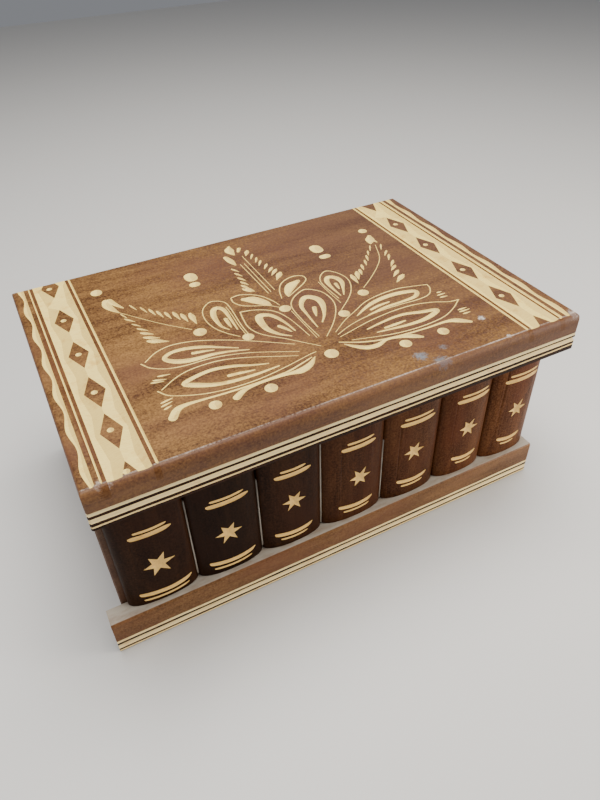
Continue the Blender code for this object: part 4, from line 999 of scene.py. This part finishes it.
# For each book: the star's (x, z, radius, turn), then (start x, end x, z) of its four bands.
BOOKS = (
    ((-92.6, 43.9, 7.0, 4), (-99.2, -86, 66.4), (-101.2, -84.5, 63.7), (-103.2, -80.5, 25.9),
     (-102.2, -82, 22.7)),
    ((-61.1, 45.3, 6.2, 2), (-67.1, -52.6, 67.2), (-68.6, -50.6, 64.5), (-71.1, -50, 26.6),
     (-69.6, -52, 23.5)),
    ((-29.6, 48.4, 5.8, -3), (-35.1, -23.6, 68.4), (-37.6, -21.1, 65.6), (-39.1, -21, 27.6),
     (-36.6, -23.6, 24.6)),
    ((4.3, 46.4, 5.8, 0), (-2.4, 10.8, 69.6), (-4.9, 11.8, 66.6), (-5.9, 11.6, 28.3),
     (-3.6, 10, 25.3)),
    ((34.2, 48.8, 5.6, 3), (27.7, 42.9, 70.5), (26.2, 44.2, 67.5), (26.7, 42.9, 29.4),
     (29, 41, 26.4)),
    ((66.1, 49.6, 5.6, -2), (59.8, 75.1, 71.3), (57.8, 76.1, 68.3), (59.3, 73.3, 29.9),
     (61.8, 71, 26.9)),
    ((96.7, 49.3, 5.6, 2), (88.4, 105.2, 72), (86.4, 105.8, 69), (88.5, 102, 29.8),
     (91, 99, 26.8)),
)
STAR_WAIST = 0.42
BAND_WIDTHS = (1.3, 2.3, 2.3, 1.2)
BAND_LIFT = (0.2, 0.2, 1.4, 0.5)
# Dried glue in the creases, by book: its side, its foot and its head.
GLUE_LINES = {1: ((1, 22, 70),), 3: ((-1, 22, 66), (1, 21, 85)), 5: ((-1, 21, 60),)}
GLUE_FRONT_Y = -62.9
GLUE_BACK_Y = -61
# The sliding book's dovetail tongue: half widths at its root and in the wall, foot and head.
SLIDING_BOOK = 4
TONGUE_ROOT = 2.5
TONGUE_WIDE = 4
TONGUE_FOOT = 42
TONGUE_HEAD = 68
# Painted light: each book's strength of the same three colours, darkest at the left and lighter
# towards the right, as if lit from the right.
BOOK_PAINTED_LIGHT = (0.65, 0.42, 0.8, 1.5, 2.1, 2.6, 3.2)
BOOK_COLOURS = ((0.012, 0.003, 0.0006), (0.065, 0.025, 0.009), (0.045, 0.013, 0.005))


def spine_section(half, front_y):
    """Arc length, x, y and outward direction round a book, left to right.

    Short straight sides lead into a superellipse: |x|^p + |y|^p is constant.
    """
    side_y = SPINE_BACK_Y - SPINE_SIDE
    angle = np.linspace(math.pi, 0, SPINE_STEPS + 1)
    bow_x = half * np.sign(np.cos(angle)) * np.abs(np.cos(angle)) ** (2 / SPINE_POWER)
    bow_y = side_y - (side_y - front_y) * np.abs(np.sin(angle)) ** (2 / SPINE_POWER)
    x = np.concatenate(((-half,), bow_x, (half,)))
    y = np.concatenate(((SPINE_BACK_Y,), bow_y, (SPINE_BACK_Y,)))
    step = np.hypot(np.diff(x), np.diff(y))
    arc = np.concatenate(((0,), np.cumsum(step)))
    arc -= arc[-1] / 2
    slope_x = np.gradient(x, arc)
    slope_y = np.gradient(y, arc)
    size = np.hypot(slope_x, slope_y)
    return arc, x, y, slope_y / size, -slope_x / size


def star(x, z, radius, turned):
    """A six-pointed chip-cut star: a twelve-cornered outline with a valley along each ray."""
    angle = np.radians(turned + np.arange(12) * 30)
    uneven = 1 + 0.06 * np.sin(5 * angle + x)
    size = np.where(np.arange(12) % 2 == 0, radius, STAR_WAIST * radius) * uneven
    ring = np.column_stack((x + size * np.cos(angle), z + size * np.sin(angle)))
    rays = [((x, z), tuple(0.12 * np.array((x, z)) + 0.88 * ring[count]))
            for count in range(0, 12, 2)]
    return chip(ring, (), rays, 0.5, 1.2)


def upright(ring, low, high):
    """A prism on four corners between two heights."""
    places = np.vstack([np.column_stack((ring, np.full(4, height))) for height in (low, high)])
    return places, [[3, 2, 1, 0], [4, 5, 6, 7], [0, 1, 5, 4], [1, 2, 6, 5], [2, 3, 7, 6],
                    [3, 0, 4, 7]]


def glue_line(x, low, high):
    """A bead of pale glue filling the bottom of the crease between two books."""
    ring = np.array(((x - 0.28, GLUE_FRONT_Y), (x + 0.28, GLUE_FRONT_Y), (x + 0.08, GLUE_BACK_Y),
                     (x - 0.08, GLUE_BACK_Y)))
    return upright(ring, low, high)


def tongue_prism(x, back_y, deep_y):
    """The sliding book's dovetail tongue, which widens into the wall."""
    ring = np.array(((x - TONGUE_ROOT, back_y), (x + TONGUE_ROOT, back_y),
                     (x + TONGUE_WIDE, deep_y), (x - TONGUE_WIDE, deep_y)))
    return upright(ring, TONGUE_FOOT, TONGUE_HEAD)


def book_cuts(star_at, bands_at, middle, arc, x):
    """A book's star and four bands, laid out flat by arc length from its middle.

    A band is a gouge stroke that thins and lifts a little towards both ends.
    """
    cuts = []
    for (start_x, end_x, height), width, lift in zip(bands_at, BAND_WIDTHS, BAND_LIFT):
        start, end = np.interp((start_x - middle, end_x - middle), x, arc)
        reach = 0.06 * (end - start)
        cuts.append(gouge(((start, height + lift, 0.6 * width),
                           (start + reach, height + 0.6 * lift, 0.95 * width),
                           ((start + end) / 2, height - 0.15, width),
                           (end - 2 * reach, height + 0.3 * lift, 0.95 * width),
                           (end, height + lift, 0.4 * width)), 0.5, 0.55))
    cuts.append(star(np.interp(star_at[0] - middle, x, arc), *star_at[1:]))
    return cuts


def end_caps(flat, low, high):
    """The top, the foot and the flat back of a book, as one face each round the sheet's rim."""
    around = np.arange(len(flat))
    at_top = around[flat[:, 1] > high[1] - TINY]
    at_foot = around[flat[:, 1] < low[1] + TINY]
    at_left = around[flat[:, 0] < low[0] + TINY]
    at_right = around[flat[:, 0] > high[0] - TINY]
    return [at_top[np.argsort(flat[at_top, 0])].tolist(),
            at_foot[np.argsort(-flat[at_foot, 0])].tolist(),
            [*at_left[np.argsort(flat[at_left, 1])], *at_right[np.argsort(-flat[at_right, 1])]]]


book_cut = cut_wood("book_carving", ALONG_Z, (0.6, 0.32, 0.08), (0.9, 0.6, 0.2), 0.42)
dry_glue = cut_wood("dry_glue", ALONG_Z, (0.3, 0.24, 0.18), (0.72, 0.66, 0.56), 0.5)
BODY_OF_BOOK = {2: "key_drawer", SLIDING_BOOK: "keyhole_book"}
LACQUERED, CARVED, PLANED, GLUE = range(4)
for number, (star_at, *bands_at) in enumerate(BOOKS, start=1):
    node = "book_spine_%d" % number
    # Each book's colours are scaled by its painted light.
    colours = [[value * BOOK_PAINTED_LIGHT[number - 1] for value in tint] for tint in BOOK_COLOURS]
    book_lacquer = stained_wood("book_lacquer_%d" % number, ALONG_Z, *colours, 0.34, 0.05, 0.4)

    # The spine as a flat sheet with its cuts, which is then bent round the section.
    low, high = box_of(node)
    middle = (low[0] + high[0]) / 2
    arc, x, y, out_x, out_y = spine_section((high[0] - low[0]) / 2, low[1])
    cuts = book_cuts(star_at, bands_at, middle, arc, x)
    sheet_low = (arc[0], low[2])
    sheet_high = (arc[-1], high[2])
    border = np.array((sheet_low, (arc[-1], low[2]), sheet_high, (arc[0], high[2])))
    spread = np.interp(np.linspace(0, SPINE_STEPS, 31), np.arange(SPINE_STEPS + 1), arc[1:-1])
    rows = [np.array(((place, low[2]), (place, high[2]))) for place in spread]
    flat, faces = carved_sheet(border, cuts, rows)
    is_cut = cut_depth(cuts, flat[faces].mean(1)) > 0.1 * TINY
    normal = np.column_stack((np.interp(flat[:, 0], arc, out_x), np.interp(flat[:, 0], arc, out_y)))
    places = np.column_stack((np.interp(flat[:, 0], arc, x) + middle,
                              np.interp(flat[:, 0], arc, y), flat[:, 1]))
    places[:, :2] -= normal * cut_depth(cuts, flat)[:, None]
    caps = end_caps(flat, sheet_low, sheet_high)
    faces = faces.tolist() + caps
    kinds = np.where(is_cut, CARVED, LACQUERED).tolist() + [PLANED] * len(caps)

    # The glue in its creases, and the tongue of the one that slides.
    added = [(*glue_line(middle + side * (x[-1] + 0.15), foot, head), GLUE)
             for side, foot, head in GLUE_LINES.get(number, ())]
    if number == SLIDING_BOOK:
        added.append((*tongue_prism(middle, SPINE_BACK_Y - 0.3, high[1]), PLANED))
    for solid, solid_faces, kind in added:
        faces += [[corner + len(places) for corner in face] for face in solid_faces]
        kinds += [kind] * len(solid_faces)
        places = np.vstack((places, solid))
    show_piece("book_%d" % number, places, faces, kinds,
               [book_lacquer, book_cut, book_lacquer, dry_glue],
               BODY_OF_BOOK.get(number, "carcass"), [node])


# The plain boards: stained outside walls glued at the corners, and the unfinished limewood of the
# bottom, the drawer's tray and the block that hides it.

WALL_COLOURS = ((0.06, 0.026, 0.013), (0.16, 0.082, 0.045), (0.11, 0.042, 0.024))
LIME_COLOURS = ((0.48, 0.32, 0.16), (0.7, 0.54, 0.33))
wall_stain = stained_wood("stained_wall", ALONG_X, *WALL_COLOURS, 0.38)
wall_stain_ends = stained_wood("stained_end_wall", ALONG_Y, *WALL_COLOURS, 0.38)
limewood = cut_wood("planed_limewood", ALONG_X, *LIME_COLOURS, 0.6)
tray_limewood = cut_wood("tray_limewood", ALONG_Y, *LIME_COLOURS, 0.6)
BOARD_FINISHES = {"front_wall": wall_stain, "back_wall": wall_stain, "left_wall": wall_stain_ends,
                  "right_wall": wall_stain_ends, "bottom_panel": limewood,
                  "drawer_housing": limewood, "key_drawer_tray": tray_limewood}
for node, finish in BOARD_FINISHES.items():
    mesh = frame["nodes"][node].data
    mesh.materials.clear()
    mesh.materials.append(finish)


# The metal: pressed brass hinges, plates and screws, the steel key, bolt, pins and lock screws.

def metal(name, bright, dull, rough):
    """Worn metal: cloudy tarnish and fine scratches in its polish."""
    material, wire = new_finish(name)
    tarnish = noise(wire, (5, 5, 5), 5.0, 0.65, (3, 1, 4)).rise(0.4, 0.7)
    scratch = noise(wire, (7, 0.25, 0.25), 2.0, 0.5, (8, 2, 6)).rise(0.55, 0.75)
    colour = (0.8 * tarnish).mix(bright, dull)
    normal = wire.node("ShaderNodeBump", {}, {"Height": scratch, "Strength": 0.2,
                                              "Distance": 0.00005})
    close_finish(wire, Base_Color=colour, Metallic=1.0, Normal=normal,
                 Roughness=rough + 0.2 * tarnish + 0.1 * scratch)
    return material


METALS = {"brass": metal("worn_brass", (0.78, 0.56, 0.24), (0.42, 0.26, 0.1), 0.26),
          "steel": metal("dull_steel", (0.6, 0.59, 0.57), (0.3, 0.28, 0.26), 0.3)}
for row in frame["record"]["subparts"]:
    if row["material_slot"] in METALS:
        mesh = frame["nodes"][row["node"]].data
        mesh.materials.clear()
        mesh.materials.append(METALS[row["material_slot"]])
